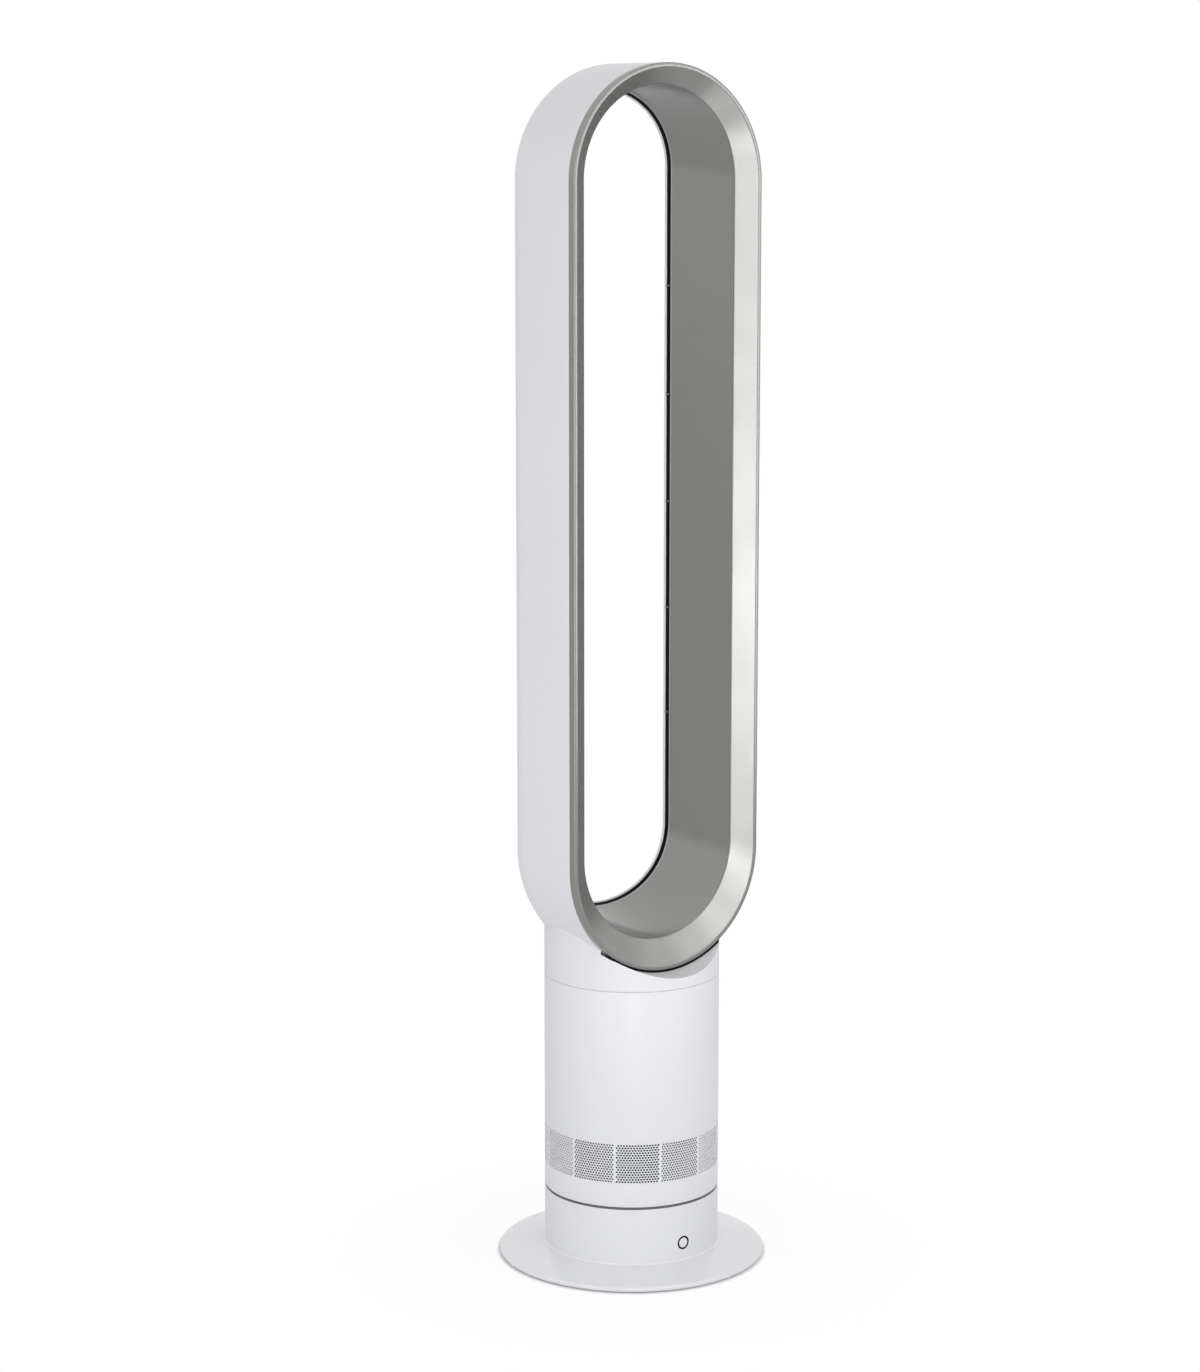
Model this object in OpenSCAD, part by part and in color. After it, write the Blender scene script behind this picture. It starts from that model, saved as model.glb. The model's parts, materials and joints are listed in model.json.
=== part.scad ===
// Bladeless tower fan: a tall air loop on a round body that swings on a heavy foot plate.
// Units are millimetres. The origin is on the floor at the middle of the foot plate.
// +Z is up and the front of the fan faces -Y.

/* [Overall] */
// Height of the whole fan above the floor
total_h = 1007; // [800:1:1200]
// Diameter of the foot plate
plate_d = 230; // [220:1:300]
// Diameter of the round body
body_d = 148.8; // [148:0.1:156]
// Wall of the white mouldings of the body
wall = 2.5; // [2:0.1:3]

/* [Heights on the body] */
// Top of the base, under the swivel gap
base_top = 58.8; // [58:0.1:64]
// Height of the swivel gap
swivel_gap = 2.8; // [2:0.1:4]
// Height of the white collar under the intake
collar_h = 20.1; // [18:0.1:26]
// Height of the perforated intake band
intake_h = 34.9; // [30:0.1:50]
// Height of the body shell above the intake band
shell_h = 130.8; // [126:0.1:180]
// Height of the loop's lowest point above the top of the body shell
loop_lift = 11.1; // [8:0.1:20]

/* [Air loop] */
// Width of the loop over its outer walls
loop_w = 190; // [184:1:220]
// Distance from the swivel axis to the front rim
loop_front = 50.2; // [46:0.1:60]
// Wall of the white outer shell
shell_wall = 2.2; // [1.8:0.1:2.6]
// Wall of the silver duct
duct_wall = 2; // [1.6:0.1:2.2]
// Flat width of the front rim
rim_w = 3.4; // [3:0.1:6]
// Rounding of the front rim's edges
rim_round = 0.5; // [0.2:0.1:0.8]
// Depth of the silver return on the outside of the rim
return_d = 7.2; // [6:0.1:10]
// Width of the front bevel at the sides of the loop
bevel_w = 15.7; // [12:0.1:18]
// Depth of the front bevel
bevel_d = 12.7; // [10:0.1:16]
// How much the duct narrows from the bevel to the slot
duct_taper = 3.9; // [2:0.1:5]
// Length of the duct from the bevel to the slot
duct_len = 82.5; // [70:0.5:90]
// Radius of the rounded back of the outer shell
nose_r = 24; // [22:0.5:26]
// Width of the air slot at the back
slot_w = 1.8; // [1.2:0.1:2.4]
// How far the slot's lip stands in from the duct's edge
lip_in = 3; // [1:0.1:4]
// Rise of the duct's lower arc at the bevel
bevel_rise = 6; // [0:0.5:8]
// Rise of the duct's lower arc at the slot
slot_rise = 12; // [8:0.5:14]
// Rise of the duct's upper arc at the bevel
bevel_rise_top = 2; // [0:0.5:3]
// Rise of the duct's upper arc at the slot
slot_rise_top = 3; // [2:0.5:4]
// Thickness of a slot spacer
spacer_t = 1.4; // [1:0.1:3]
// Radial length of a slot spacer
spacer_l = 3; // [2:0.5:4]
// Number of slot spacers on each limb
spacers = 5; // [2:1:8]
// Width of the air opening under the loop
mouth_w = 76; // [60:1:90]
// Depth of the air opening under the loop
mouth_d = 52; // [40:1:56]

/* [Neck] */
// Shadow gap between the silver rim and the neck
rim_gap = 2.4; // [1:0.1:3]
// How much higher the neck's roof stands under the loop's rounded back
rear_rise = 8.6; // [4:0.2:12]
// Length of the neck's spigot inside the body shell
spigot_l = 9; // [6:0.5:14]
// Wall of the spigot
spigot_wall = 2; // [1.6:0.1:3]
// Height of the rubber seal on the spigot
seal_h = 3; // [2:0.1:4]

/* [Foot plate] */
// Height of the rubber feet below the plate
foot_gap = 1.5; // [1:0.1:3]
// Diameter of a rubber foot
foot_d = 16; // [10:0.5:20]
// Depth of the seat of a foot
foot_seat = 0.8; // [0.5:0.1:1.2]
// Number of rubber feet
feet = 6; // [3:1:8]
// Thickness of the plate's outer edge
edge_h = 4.2; // [3.4:0.1:4.4]
// Skin of the foot plate
plate_skin = 2.5; // [2:0.1:3]
// Height of the plate's top at the foot of the column
plate_top = 11.4; // [11:0.1:14]
// Radius of the fillet between plate and column
foot_fillet = 2; // [1:0.1:3]
// Thickness of the bottom cover
cover_t = 2; // [1.6:0.1:2.4]
// Thickness of the steel ballast ring
ballast_t = 2.4; // [1.5:0.1:2.6]
// Radial width of the steel ballast ring, as a share of the room under the plate
ballast_share = 0.5; // [0.3:0.05:0.55]

/* [Base inside] */
// Diameter of a screw boss
boss_d = 7.4; // [7:0.1:7.6]
// Diameter of a screw
screw_d = 3; // [2.5:0.1:3.1]
// Thickness of the deck that closes the base
deck_t = 3; // [2.5:0.1:4]
// Depth of the deck below the top of the base
deck_drop = 6.8; // [6.8:0.1:8]
// Diameter of the hollow spindle
spindle_d = 18; // [16:0.5:22]
// Bore of the spindle for the wires
spindle_bore = 12; // [8:0.5:13]
// Diameter of a bearing ball
ball_d = 5; // [4.5:0.1:5.2]
// Number of bearing balls
balls = 18; // [8:1:24]
// Diameter of the swivel motor
swivel_motor_d = 48; // [40:1:50]
// Height of the swivel motor
swivel_motor_h = 18; // [14:0.5:24]
// Diameter of the swivel motor's output shaft
output_d = 5; // [4:0.1:6]
// Bore of the rubber grommet for the mains lead
grommet_bore = 6.5; // [5:0.1:7]
// Diameter of the grommet where it passes the wall
grommet_d = 11; // [9.5:0.1:13]

/* [Power button] */
// Height of the button's middle above the floor
button_z = 25.9; // [24:0.1:32]
// Outer diameter of the dark ring round the button
button_ring_d = 11.7; // [11:0.1:14]
// Width of the dark ring
button_ring_w = 1.1; // [0.8:0.1:1.4]
// Travel of the button
button_travel = 1.2; // [0.8:0.1:1.5]
// Width of the control board
board_w = 44; // [36:1:50]
// Height of the control board
board_h = 32; // [28:1:33]
// Thickness of the circuit boards
board_t = 1.6; // [1:0.1:2]

/* [Gears] */
// Module of the swivel gears
gear_m = 1.5; // [1.4:0.1:1.5]
// Radius kept free between the ring gear's pitch circle and the body's inside
gear_room = 17.9; // [17.9:0.1:22]
// Teeth of the pinion
pinion_teeth = 14; // [12:1:16]
// Thinning of each tooth flank for backlash
backlash = 0.12; // [0.08:0.01:0.2]
// Face width of the ring gear
gear_h = 6; // [5:0.1:6.4]

/* [Intake] */
// Number of perforated panels round the band
panels = 12; // [8:2:16]
// Width of the plain strip between two panels
strip_w = 3.2; // [2:0.1:6]
// Diameter of a hole in the perforated sheet
hole_d = 3.4; // [2.5:0.1:4]
// Distance between the holes of a row
hole_pitch = 5.1; // [4.5:0.1:6]
// Thickness of the perforated sheet
grille_t = 1.6; // [1:0.1:2]
// Thickness of the cage that carries the sheet
cage_t = 2.2; // [1.8:0.1:3]
// Width of a rib of the cage
rib_w = 2.4; // [2:0.1:4]
// Height of the foam ring in the intake chamber
foam_h = 12; // [6:0.5:14]

/* [Fan] */
// Number of impeller blades
blades = 9; // [5:1:13]
// Thickness of an impeller blade
blade_t = 1.6; // [1.2:0.1:2.4]
// Radius of the impeller inlet, as a share of the body's inside
eye_share = 0.631; // [0.56:0.005:0.64]
// Radius of the impeller at its outlet, as a share of the body's inside
tip_share = 0.826; // [0.78:0.005:0.83]
// Height of the impeller
impeller_h = 23; // [20:0.5:24]
// Radius of the hub at the outlet, as a share of the body's inside
hub_share = 0.528; // [0.48:0.005:0.54]
// Running gap between the blades and the shroud
tip_gap = 0.6; // [0.4:0.1:1]
// Wall of the fan shroud
shroud_wall = 2; // [1.6:0.1:2.4]
// Height of the diffuser
diffuser_h = 24; // [20:0.5:28]
// Number of diffuser vanes
vanes = 11; // [7:2:15]
// Thickness of a diffuser vane
vane_t = 1.6; // [1.2:0.1:2.4]
// Outer radius of the motor bucket, as a share of the body's inside
bucket_share = 0.556; // [0.53:0.005:0.57]
// Length of the pointed cap over the motor
cap_h = 44; // [36:1:46]
// Diameter of the motor shaft
shaft_d = 5; // [4:0.1:6]
// Outer diameter of the motor bearings
bearing_d = 16; // [13:0.5:18]
// Width of a motor bearing
bearing_h = 5; // [4:0.1:5.5]
// Outer radius of the stator, as a share of the body's inside
stator_share = 0.459; // [0.42:0.005:0.47]
// Bore radius of the stator, as a share of the body's inside
bore_share = 0.243; // [0.21:0.005:0.26]
// Height of the stator
stator_h = 18; // [14:0.5:18]

/* [Hidden] */
// Segments of a full circle
smooth = 96;
// Segments of a small circle
fine = 32;
$fn = smooth;
// Overrun of every cut past the face that it opens
over = 1;
// Gap between fixed pieces that slip into each other
slip = 0.05;
// Gap of a running fit
running = 0.06;
// Gap between pieces that move past each other
clear = 0.3;
// Colours of the finishes
white = [0.93, 0.93, 0.95];
silver = [0.62, 0.62, 0.60];
grey = [0.45, 0.46, 0.48];
dark = [0.16, 0.16, 0.17];
steel = [0.72, 0.73, 0.75];
rubber = [0.10, 0.10, 0.11];
green = [0.10, 0.35, 0.22];
cream = [0.88, 0.86, 0.80];

// Shares of a screw's diameter: head height, head width, slot length, width and depth
head_h_share = 0.5;
head_w_share = 1.8;
slot_l_share = 1.1;
slot_w_share = 0.25;
slot_d_share = 0.3;

// Radii and heights of the body
body_r = body_d / 2;
inner_r = body_r - wall;
gap_top = base_top + swivel_gap;
intake_low = gap_top + collar_h;
intake_top = intake_low + intake_h;
seam_z = intake_top + shell_h;

// Loop outline: radius of its outer wall and the middles of its two arcs
loop_r = loop_w / 2;
loop_low = seam_z + loop_lift;
low_c = loop_low + loop_r;
top_c = total_h - loop_r;
// Loop section, along y from the front rim to the back
rim_in_r = loop_r - rim_w;
duct_front_r = rim_in_r - bevel_w;
duct_rear_r = duct_front_r - duct_taper;
bevel_y = bevel_d - loop_front;
duct_rear_y = bevel_y + duct_len;
parting_y = return_d - loop_front;
lip_face_y = duct_rear_y + slot_w;
loop_back = lip_face_y + shell_wall;
nose_y = loop_back - nose_r;
nose_in_r = loop_r - nose_r;
lip_r = duct_rear_r - lip_in;
// Segments of one arc of the loop and of its rounded back
arc_steps = 36;
nose_steps = 6;

// A ring about the z axis between two radii and two heights
module tube(r_out, r_in, z0, z1) {
    translate([0, 0, z0]) difference() {
        cylinder(r = r_out, h = z1 - z0);
        translate([0, 0, -over]) cylinder(r = r_in, h = z1 - z0 + 2 * over);
    }
}

// An upright cylinder between two heights at a place in the plan
module post(p, r, z0, z1) {
    translate([p[0], p[1], z0]) cylinder(r = r, h = z1 - z0, $fn = fine);
}

// A place in the plan from a radius and an angle
function polar(r, a) = [r * cos(a), r * sin(a)];

// Children repeated evenly about the z axis
module around(count, start = 0) {
    for (k = [0:count - 1]) rotate([0, 0, start + k * 360 / count]) children();
}

// A screw that points up, with its head's underside at z = 0 and a cross slot
module screw(d, l) {
    head_h = d * head_h_share;
    difference() {
        union() {
            cylinder(d = d, h = l, $fn = fine);
            translate([0, 0, -head_h]) cylinder(d = d * head_w_share, h = head_h, $fn = fine);
        }
        for (a = [0, 90]) rotate([0, 0, a])
            translate([-d * slot_l_share / 2, -d * slot_w_share / 2, -head_h - over])
                cube([d * slot_l_share, d * slot_w_share, over + d * slot_d_share]);
    }
}

// Foot plate: edge, conical top and the seat of the column
plate_r = plate_d / 2;
plate_low = foot_gap;
edge_top = plate_low + edge_h;
edge_round = edge_h / 2;
cover_top = plate_low + cover_t;
cover_r = plate_r - 2 * edge_h;
collar_top = plate_top + foot_fillet;
seat_z = collar_top - plate_skin;
fillet_r = body_r + foot_fillet;
cone_slope = (plate_top - edge_top) / (plate_r - edge_round - fillet_r);
skin_low = edge_top - plate_skin + cone_slope * (plate_r - edge_round - cover_r);
// Screw bosses in the corners of the base
corners = 4;
corner_angle = 45;
boss_r = boss_d / 2;
boss_at = inner_r - boss_r;
seat_in_r = boss_at - boss_r;
screw_hole_r = screw_d / 2 + slip;
head_r = screw_d * head_w_share / 2 + slip;
head_sink = screw_d * head_h_share + slip;
// How far a screw reaches into its boss
screw_bite = 9;
// Deck that closes the base
deck_top = base_top - deck_drop;
deck_z = deck_top - deck_t;
ballast_out = inner_r + ballast_share * (cover_r - inner_r);
// Feet, with a small step round the sole
feet_at = cover_r - foot_d / 2 - wall;
foot_edge = 0.5;

module rubber_feet() {
    color(rubber) around(feet, 90) translate([feet_at, 0, 0]) {
        cylinder(d = foot_d - 2 * foot_edge, h = plate_low, $fn = smooth);
        translate([0, 0, foot_edge])
            cylinder(d = foot_d, h = plate_low + foot_seat - foot_edge, $fn = smooth);
    }
}

// Power button, placed along the axis that runs from the middle of the fan to the front
button_ring_r = button_ring_d / 2;
button_bore_r = button_ring_r - button_ring_w;
ring_lip = 1.6;
ring_back = 1.8;
ring_proud = 0.1;
cap_recess = 0.15;
cap_lip = 1.5;
cap_back = 1.6;
stem_r = 2;
stem_l = 4.7;
switch_t = 4.5;
switch_w = 7;
plunger_r = 1.6;
plunger_in = 1.8;
// Faces from the front inwards
ring_seat = sqrt(pow(inner_r, 2) - pow(button_ring_r + ring_lip, 2));
cap_face = ring_seat - ring_back - clear;
stem_face = cap_face - cap_back;
plunger_face = stem_face - stem_l;
switch_face = plunger_face - button_travel - clear;
board_face = switch_face - switch_t;
// Control board on two slotted posts of the cover
board_y = board_t / 2 - board_face;
board_low = button_z - board_h / 2 + switch_w / 2;
board_post_w = 5;
board_post_x = board_w / 2 - board_post_w / 2 - wall / 2;
board_post_top = board_low + board_post_w;

// Children drawn along +z are turned to point to the front at the button's height
module to_front() {
    translate([0, 0, button_z]) rotate([90, 0, 0]) children();
}

// Vent slots in the cover
vents = 12;
vent_angle = 15;
vent_at = 18;
vent_l = 22;
vent_w = 3;

module bottom_cover() {
    color(grey) difference() {
        union() {
            translate([0, 0, plate_low]) cylinder(r = cover_r, h = cover_t);
            around(corners, corner_angle) post([boss_at, 0], boss_r, plate_low, seat_z);
            for (s = [-1, 1])
                translate([s * board_post_x - board_post_w / 2, board_y - board_post_w / 2, plate_low])
                    cube([board_post_w, board_post_w, board_post_top - plate_low]);
        }
        around(feet, 90) post([feet_at, 0], foot_d / 2 + slip, plate_low - over, plate_low + foot_seat);
        around(corners, corner_angle) {
            post([boss_at, 0], screw_hole_r, plate_low - over, seat_z + over);
            post([boss_at, 0], head_r, plate_low - over, plate_low + head_sink);
        }
        around(vents, vent_angle) translate([vent_at, -vent_w / 2, plate_low - over])
            cube([vent_l, vent_w, cover_t + 2 * over]);
        translate([-board_w / 2 - over, board_y - board_t / 2 - slip, board_low])
            cube([board_w + 2 * over, board_t + 2 * slip, board_post_w + over]);
    }
}

module cover_screws() {
    color(steel) around(corners, corner_angle) translate([boss_at, 0, plate_low + head_sink])
        screw(screw_d, collar_top + screw_bite - plate_low - head_sink);
}

module ballast_ring() {
    color(steel) tube(ballast_out, inner_r, cover_top, cover_top + ballast_t);
}

// Radial ribs under the skin of the foot plate
plate_ribs = 24;
plate_rib_angle = 7.5;
plate_rib_t = 1.6;

module foot_plate() {
    color(white) difference() {
        union() {
            rotate_extrude() {
                polygon([[seat_in_r, seat_z], [seat_in_r, collar_top], [body_r, collar_top],
                    [body_r, plate_top], [fillet_r, plate_top], [plate_r - edge_round, edge_top],
                    [plate_r - edge_round, plate_low], [cover_r + slip, plate_low],
                    [cover_r + slip, skin_low], [fillet_r, plate_top - plate_skin], [body_r, seat_z]]);
                translate([plate_r - edge_round, plate_low + edge_round]) circle(r = edge_round, $fn = fine);
                difference() {
                    translate([body_r - over, plate_top - over]) square(foot_fillet + over);
                    translate([fillet_r, collar_top]) circle(r = foot_fillet, $fn = fine);
                }
            }
            intersection() {
                around(plate_ribs, plate_rib_angle) translate([inner_r, -plate_rib_t / 2, cover_top])
                    cube([cover_r - inner_r + wall, plate_rib_t, collar_top - cover_top]);
                rotate_extrude() polygon([[ballast_out + clear, cover_top + clear],
                    [cover_r + slip, cover_top + clear], [cover_r + wall, cover_top + clear],
                    [cover_r + wall, skin_low + plate_skin / 2], [fillet_r, plate_top - plate_skin / 2],
                    [body_r, plate_top - plate_skin / 2], [body_r, cover_top + ballast_t + clear],
                    [ballast_out + clear, cover_top + ballast_t + clear]]);
            }
        }
        around(corners, corner_angle) post([boss_at, 0], screw_hole_r, seat_z - over, collar_top + over);
    }
}

// Rubber grommet in the rear wall, ready for a mains lead
grommet_lip = 1.5;
grommet_proud = 2.5;
grommet_in = 3;
grommet_r = grommet_d / 2;
grommet_z = collar_top + grommet_r + grommet_lip + wall;
grommet_seat = sqrt(pow(inner_r, 2) - pow(grommet_r + grommet_lip, 2));

// Children drawn along +z are turned to point to the back at the grommet's height
module to_back() {
    translate([0, 0, grommet_z]) rotate([-90, 0, 0]) children();
}

module base_column() {
    color(white) difference() {
        union() {
            tube(body_r, inner_r, collar_top, base_top);
            around(corners, corner_angle) post([boss_at, 0], boss_r + slip, collar_top, deck_z);
        }
        around(corners, corner_angle) {
            post([boss_at, 0], screw_hole_r, collar_top - over, collar_top + screw_bite + slip);
            post([boss_at, 0], screw_hole_r, deck_z - screw_bite - slip, deck_z + over);
        }
        to_front() cylinder(r = button_ring_r + slip, h = body_r + over, $fn = fine);
        to_back() cylinder(r = grommet_r + slip, h = body_r + over, $fn = fine);
    }
}

module cord_grommet() {
    color(rubber) to_back() difference() {
        union() {
            translate([0, 0, grommet_seat - grommet_in])
                cylinder(r = grommet_r + grommet_lip, h = grommet_in, $fn = smooth);
            translate([0, 0, grommet_seat - grommet_in])
                cylinder(r = grommet_r, h = body_r + grommet_proud - grommet_seat + grommet_in, $fn = smooth);
            translate([0, 0, body_r + slip])
                cylinder(r1 = grommet_r + grommet_lip, r2 = grommet_r,
                    h = grommet_proud - slip, $fn = smooth);
        }
        translate([0, 0, inner_r / 2]) cylinder(d = grommet_bore, h = body_r, $fn = smooth);
    }
}

// Swivel gears: an internal ring gear over a small pinion
ring_teeth = 4 * floor((inner_r - gear_room) / gear_m / 2);
ring_pitch_r = gear_m * ring_teeth / 2;
pinion_pitch_r = gear_m * pinion_teeth / 2;
pinion_at = ring_pitch_r - pinion_pitch_r;
gear_low = gap_top - gear_h;
pressure_angle = 20;
ring_addendum_share = 0.8;
pinion_addendum_share = 0.93;
dedendum_share = 1.25;
ring_rim = 1.8;
ring_out_r = ring_pitch_r + dedendum_share * gear_m + ring_rim;
pinion_hub = 2.6;
flank_steps = 4;

// Involute function in degrees for a radius outside the base circle
function inv(r, base) = r <= base ? 0 : tan(acos(base / r)) * 180 / PI - acos(base / r);
// Half angle of a tooth at a radius, from its half angle on the pitch circle
function flank(r, pitch, base, half) = half + inv(pitch, base) - inv(r, base);

// Flat outline of a gear between two radii; grow thickens each flank
module gear_outline(teeth, low_r, high_r, grow) {
    pitch = gear_m * teeth / 2;
    base = pitch * cos(pressure_angle);
    half = 90 / teeth + grow / pitch * 180 / PI;
    radii = [for (i = [0:flank_steps]) low_r + (high_r - low_r) * i / flank_steps];
    polygon([for (k = [0:teeth - 1]) for (side = [-1, 1]) for (i = [0:flank_steps])
        let (r = side < 0 ? radii[i] : radii[flank_steps - i])
        polar(r, k * 360 / teeth + side * flank(r, pitch, base, half))]);
}

// Ball track between the deck and the turntable
track_w = 6.8;
track_fit = 0.1;
track_skin = 0.6;
cage_h = 1.2;
cage_w = 6.4;
ball_r = ball_d / 2;
groove_r = ball_r + track_fit;
track_r = ring_out_r + 2 * clear + track_w / 2;
ball_z = gap_top - ball_r - track_skin;
low_track_top = ball_z - cage_h / 2 - clear;
top_track_low = ball_z + cage_h / 2 + clear;
// Turntable with its hub, and the clip that holds it on the spindle
turntable_t = 3;
turntable_top = gap_top + turntable_t;
spindle_r = spindle_d / 2;
hub_wall = 4;
hub_rise = 7.4;
hub_low = deck_top + 2 * clear;
hub_top = turntable_top + hub_rise;
rim_step = 1;
skirt_t = 1.6;
skirt_in = 1.2;
// Dark ring that shows in the swivel gap: its clearance over the base and its set-back
gap_ring_run = 0.4;
gap_ring_in = 0.5;
clip_t = 1.2;
clip_w = 3;
clip_groove = 1;
clip_mouth = 10;
clip_z = hub_top + clear;
spindle_top = clip_z + clip_t + clip_groove;

// Swivel motor under the deck
ear_t = 2;
ear_r = 4.5;
ear_at = swivel_motor_d / 2 + ear_r;
swivel_motor_low = deck_z - ear_t - swivel_motor_h;
output_r = output_d / 2;
output_low = swivel_motor_low + swivel_motor_h / 2;

module base_deck() {
    color(grey) difference() {
        rotate_extrude() difference() {
            union() {
                translate([spindle_bore / 2, deck_z]) square([inner_r - slip - spindle_bore / 2, deck_t]);
                translate([track_r - track_w / 2, deck_z]) square([track_w, low_track_top - deck_z]);
                translate([spindle_bore / 2, deck_z])
                    square([spindle_r - spindle_bore / 2, spindle_top - deck_z]);
            }
            translate([track_r, ball_z]) circle(r = groove_r, $fn = fine);
            translate([spindle_r - clip_groove, clip_z]) square([clip_groove + over, clip_t + 2 * slip]);
        }
        around(corners, corner_angle) post([boss_at, 0], screw_hole_r, deck_z - over, deck_top + over);
        post([0, pinion_at], output_r + clear, deck_z - over, deck_top + over);
        for (s = [-1, 1]) post([s * ear_at, pinion_at], screw_hole_r, deck_z - over, deck_top + over);
    }
}

module deck_screws() {
    color(steel) around(corners, corner_angle) translate([boss_at, 0, deck_top])
        rotate([180, 0, 0]) screw(screw_d, deck_t + screw_bite);
}

module bearing_balls() {
    color(steel) around(balls) translate([track_r, 0, ball_z]) sphere(r = ball_r, $fn = fine);
}

module ball_cage() {
    color(cream) difference() {
        tube(track_r + cage_w / 2, track_r - cage_w / 2, ball_z - cage_h / 2, ball_z + cage_h / 2);
        around(balls) post([track_r, 0], groove_r, ball_z - cage_h, ball_z + cage_h);
    }
}

module spindle_clip() {
    color(steel) difference() {
        tube(spindle_r + clip_w, spindle_r - clip_groove + slip, clip_z + slip, clip_z + slip + clip_t);
        translate([0, -clip_mouth / 2, clip_z - over])
            cube([spindle_r + clip_w + over, clip_mouth, clip_t + 2 * over]);
    }
}

module swivel_motor() {
    color(steel) difference() {
        union() {
            post([0, pinion_at], swivel_motor_d / 2, swivel_motor_low, deck_z - ear_t);
            post([0, pinion_at], output_d, deck_z - ear_t, deck_z);
            translate([-ear_at, pinion_at - ear_r, deck_z - ear_t]) cube([2 * ear_at, 2 * ear_r, ear_t]);
            for (s = [-1, 1]) post([s * ear_at, pinion_at], ear_r, deck_z - ear_t, deck_z);
        }
        post([0, pinion_at], output_r + running, output_low - running, deck_z + over);
        for (s = [-1, 1]) post([s * ear_at, pinion_at], screw_hole_r, deck_z - ear_t - over, deck_z + over);
    }
}

module swivel_motor_screws() {
    color(steel) for (s = [-1, 1]) translate([s * ear_at, pinion_at, deck_z - ear_t])
        screw(screw_d, ear_t + deck_t);
}

module output_shaft() {
    color(steel) post([0, pinion_at], output_r, output_low, gap_top - clear);
}

module drive_pinion() {
    color(cream) translate([0, pinion_at, 0]) difference() {
        union() {
            translate([0, 0, gear_low]) linear_extrude(gear_h - 2 * clear) rotate([0, 0, 90])
                gear_outline(pinion_teeth, pinion_pitch_r - dedendum_share * gear_m,
                    pinion_pitch_r + pinion_addendum_share * gear_m, -backlash);
            translate([0, 0, deck_top + clear])
                cylinder(r = output_r + pinion_hub, h = gear_low - deck_top, $fn = fine);
        }
        translate([0, 0, deck_top]) cylinder(r = output_r + slip, h = gap_top - deck_top, $fn = fine);
    }
}

module ring_gear() {
    color(cream) difference() {
        translate([0, 0, gear_low]) cylinder(r = ring_out_r, h = gear_h);
        translate([0, 0, gear_low - over]) linear_extrude(gear_h + 2 * over)
            gear_outline(ring_teeth, ring_pitch_r - ring_addendum_share * gear_m,
                ring_pitch_r + dedendum_share * gear_m, backlash);
    }
}

module button_ring() {
    color(dark) difference() {
        intersection() {
            to_front() {
                translate([0, 0, ring_seat - ring_back])
                    cylinder(r = button_ring_r + ring_lip, h = ring_back, $fn = fine);
                translate([0, 0, ring_seat - ring_back])
                    cylinder(r = button_ring_r, h = body_r, $fn = fine);
            }
            cylinder(r = body_r + ring_proud, h = base_top);
        }
        to_front() cylinder(r = button_bore_r, h = body_r + 2 * over, $fn = fine);
    }
}

module power_button() {
    color(white) intersection() {
        to_front() {
            translate([0, 0, stem_face]) cylinder(r = button_bore_r - running, h = body_r, $fn = fine);
            translate([0, 0, stem_face]) cylinder(r = button_bore_r + cap_lip, h = cap_back, $fn = fine);
            translate([0, 0, plunger_face]) cylinder(r = stem_r, h = body_r - plunger_face, $fn = fine);
        }
        cylinder(r = body_r - cap_recess, h = base_top);
    }
}

module switch_plunger() {
    color(cream) to_front() translate([0, 0, switch_face - plunger_in])
        cylinder(r = plunger_r, h = plunger_face - switch_face + plunger_in, $fn = fine);
}

module push_switch() {
    color(dark) difference() {
        to_front() translate([-switch_w / 2, -switch_w / 2, board_face]) cube([switch_w, switch_w, switch_t]);
        to_front() translate([0, 0, switch_face - plunger_in - button_travel - clear])
            cylinder(r = plunger_r + running, h = switch_t + over, $fn = fine);
    }
}

// Parts on the back of the control board
relay = [18, 10, 9];
socket = [12, 6, 7];

module control_board() {
    color(green) translate([-board_w / 2, board_y - board_t / 2, board_low])
        cube([board_w, board_t, board_h]);
    color(dark) translate([0, board_y + board_t / 2, board_low + board_h]) {
        translate([-relay[0] - wall, 0, -relay[2] - wall]) cube(relay);
        translate([wall, 0, -socket[2] - wall]) cube(socket);
    }
}

module turntable() {
    color(dark) rotate_extrude() difference() {
        union() {
            translate([spindle_r + running, gap_top])
                square([inner_r - slip - spindle_r - running, turntable_t]);
            translate([inner_r - over, gap_top]) square([wall / 2 + over, rim_step]);
            translate([spindle_r + running, hub_low]) square([hub_wall, hub_top - hub_low]);
            translate([track_r - track_w / 2, top_track_low])
                square([track_w, turntable_top - top_track_low]);
            translate([inner_r - clear - skirt_t, base_top - skirt_in])
                square([skirt_t, turntable_top - base_top + skirt_in]);
            translate([inner_r - clear - skirt_t, base_top + gap_ring_run])
                square([skirt_t + clear + wall - gap_ring_in, swivel_gap - gap_ring_run]);
        }
        translate([track_r, ball_z]) circle(r = groove_r, $fn = fine);
    }
}

module lower_collar() {
    color(white) difference() {
        tube(body_r, inner_r, gap_top, intake_low);
        translate([0, 0, gap_top - over]) cylinder(r = inner_r + wall / 2 + slip, h = rim_step + over);
    }
}

// Turn from the x axis to the front
front_angle = 90;
// Cage that carries the perforated sheet between the collar and the shell
cage_r = inner_r - slip;
cage_lap = 6;

module intake_cage() {
    color(dark) {
        tube(cage_r, cage_r - cage_t, turntable_top, intake_low);
        tube(cage_r, cage_r - cage_t, intake_top, intake_top + cage_lap);
        around(panels, 180 / panels - front_angle)
            translate([cage_r - cage_t + slip, -rib_w / 2, intake_low - over])
                cube([cage_t - 2 * slip, rib_w, intake_h + 2 * over]);
    }
}

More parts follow.
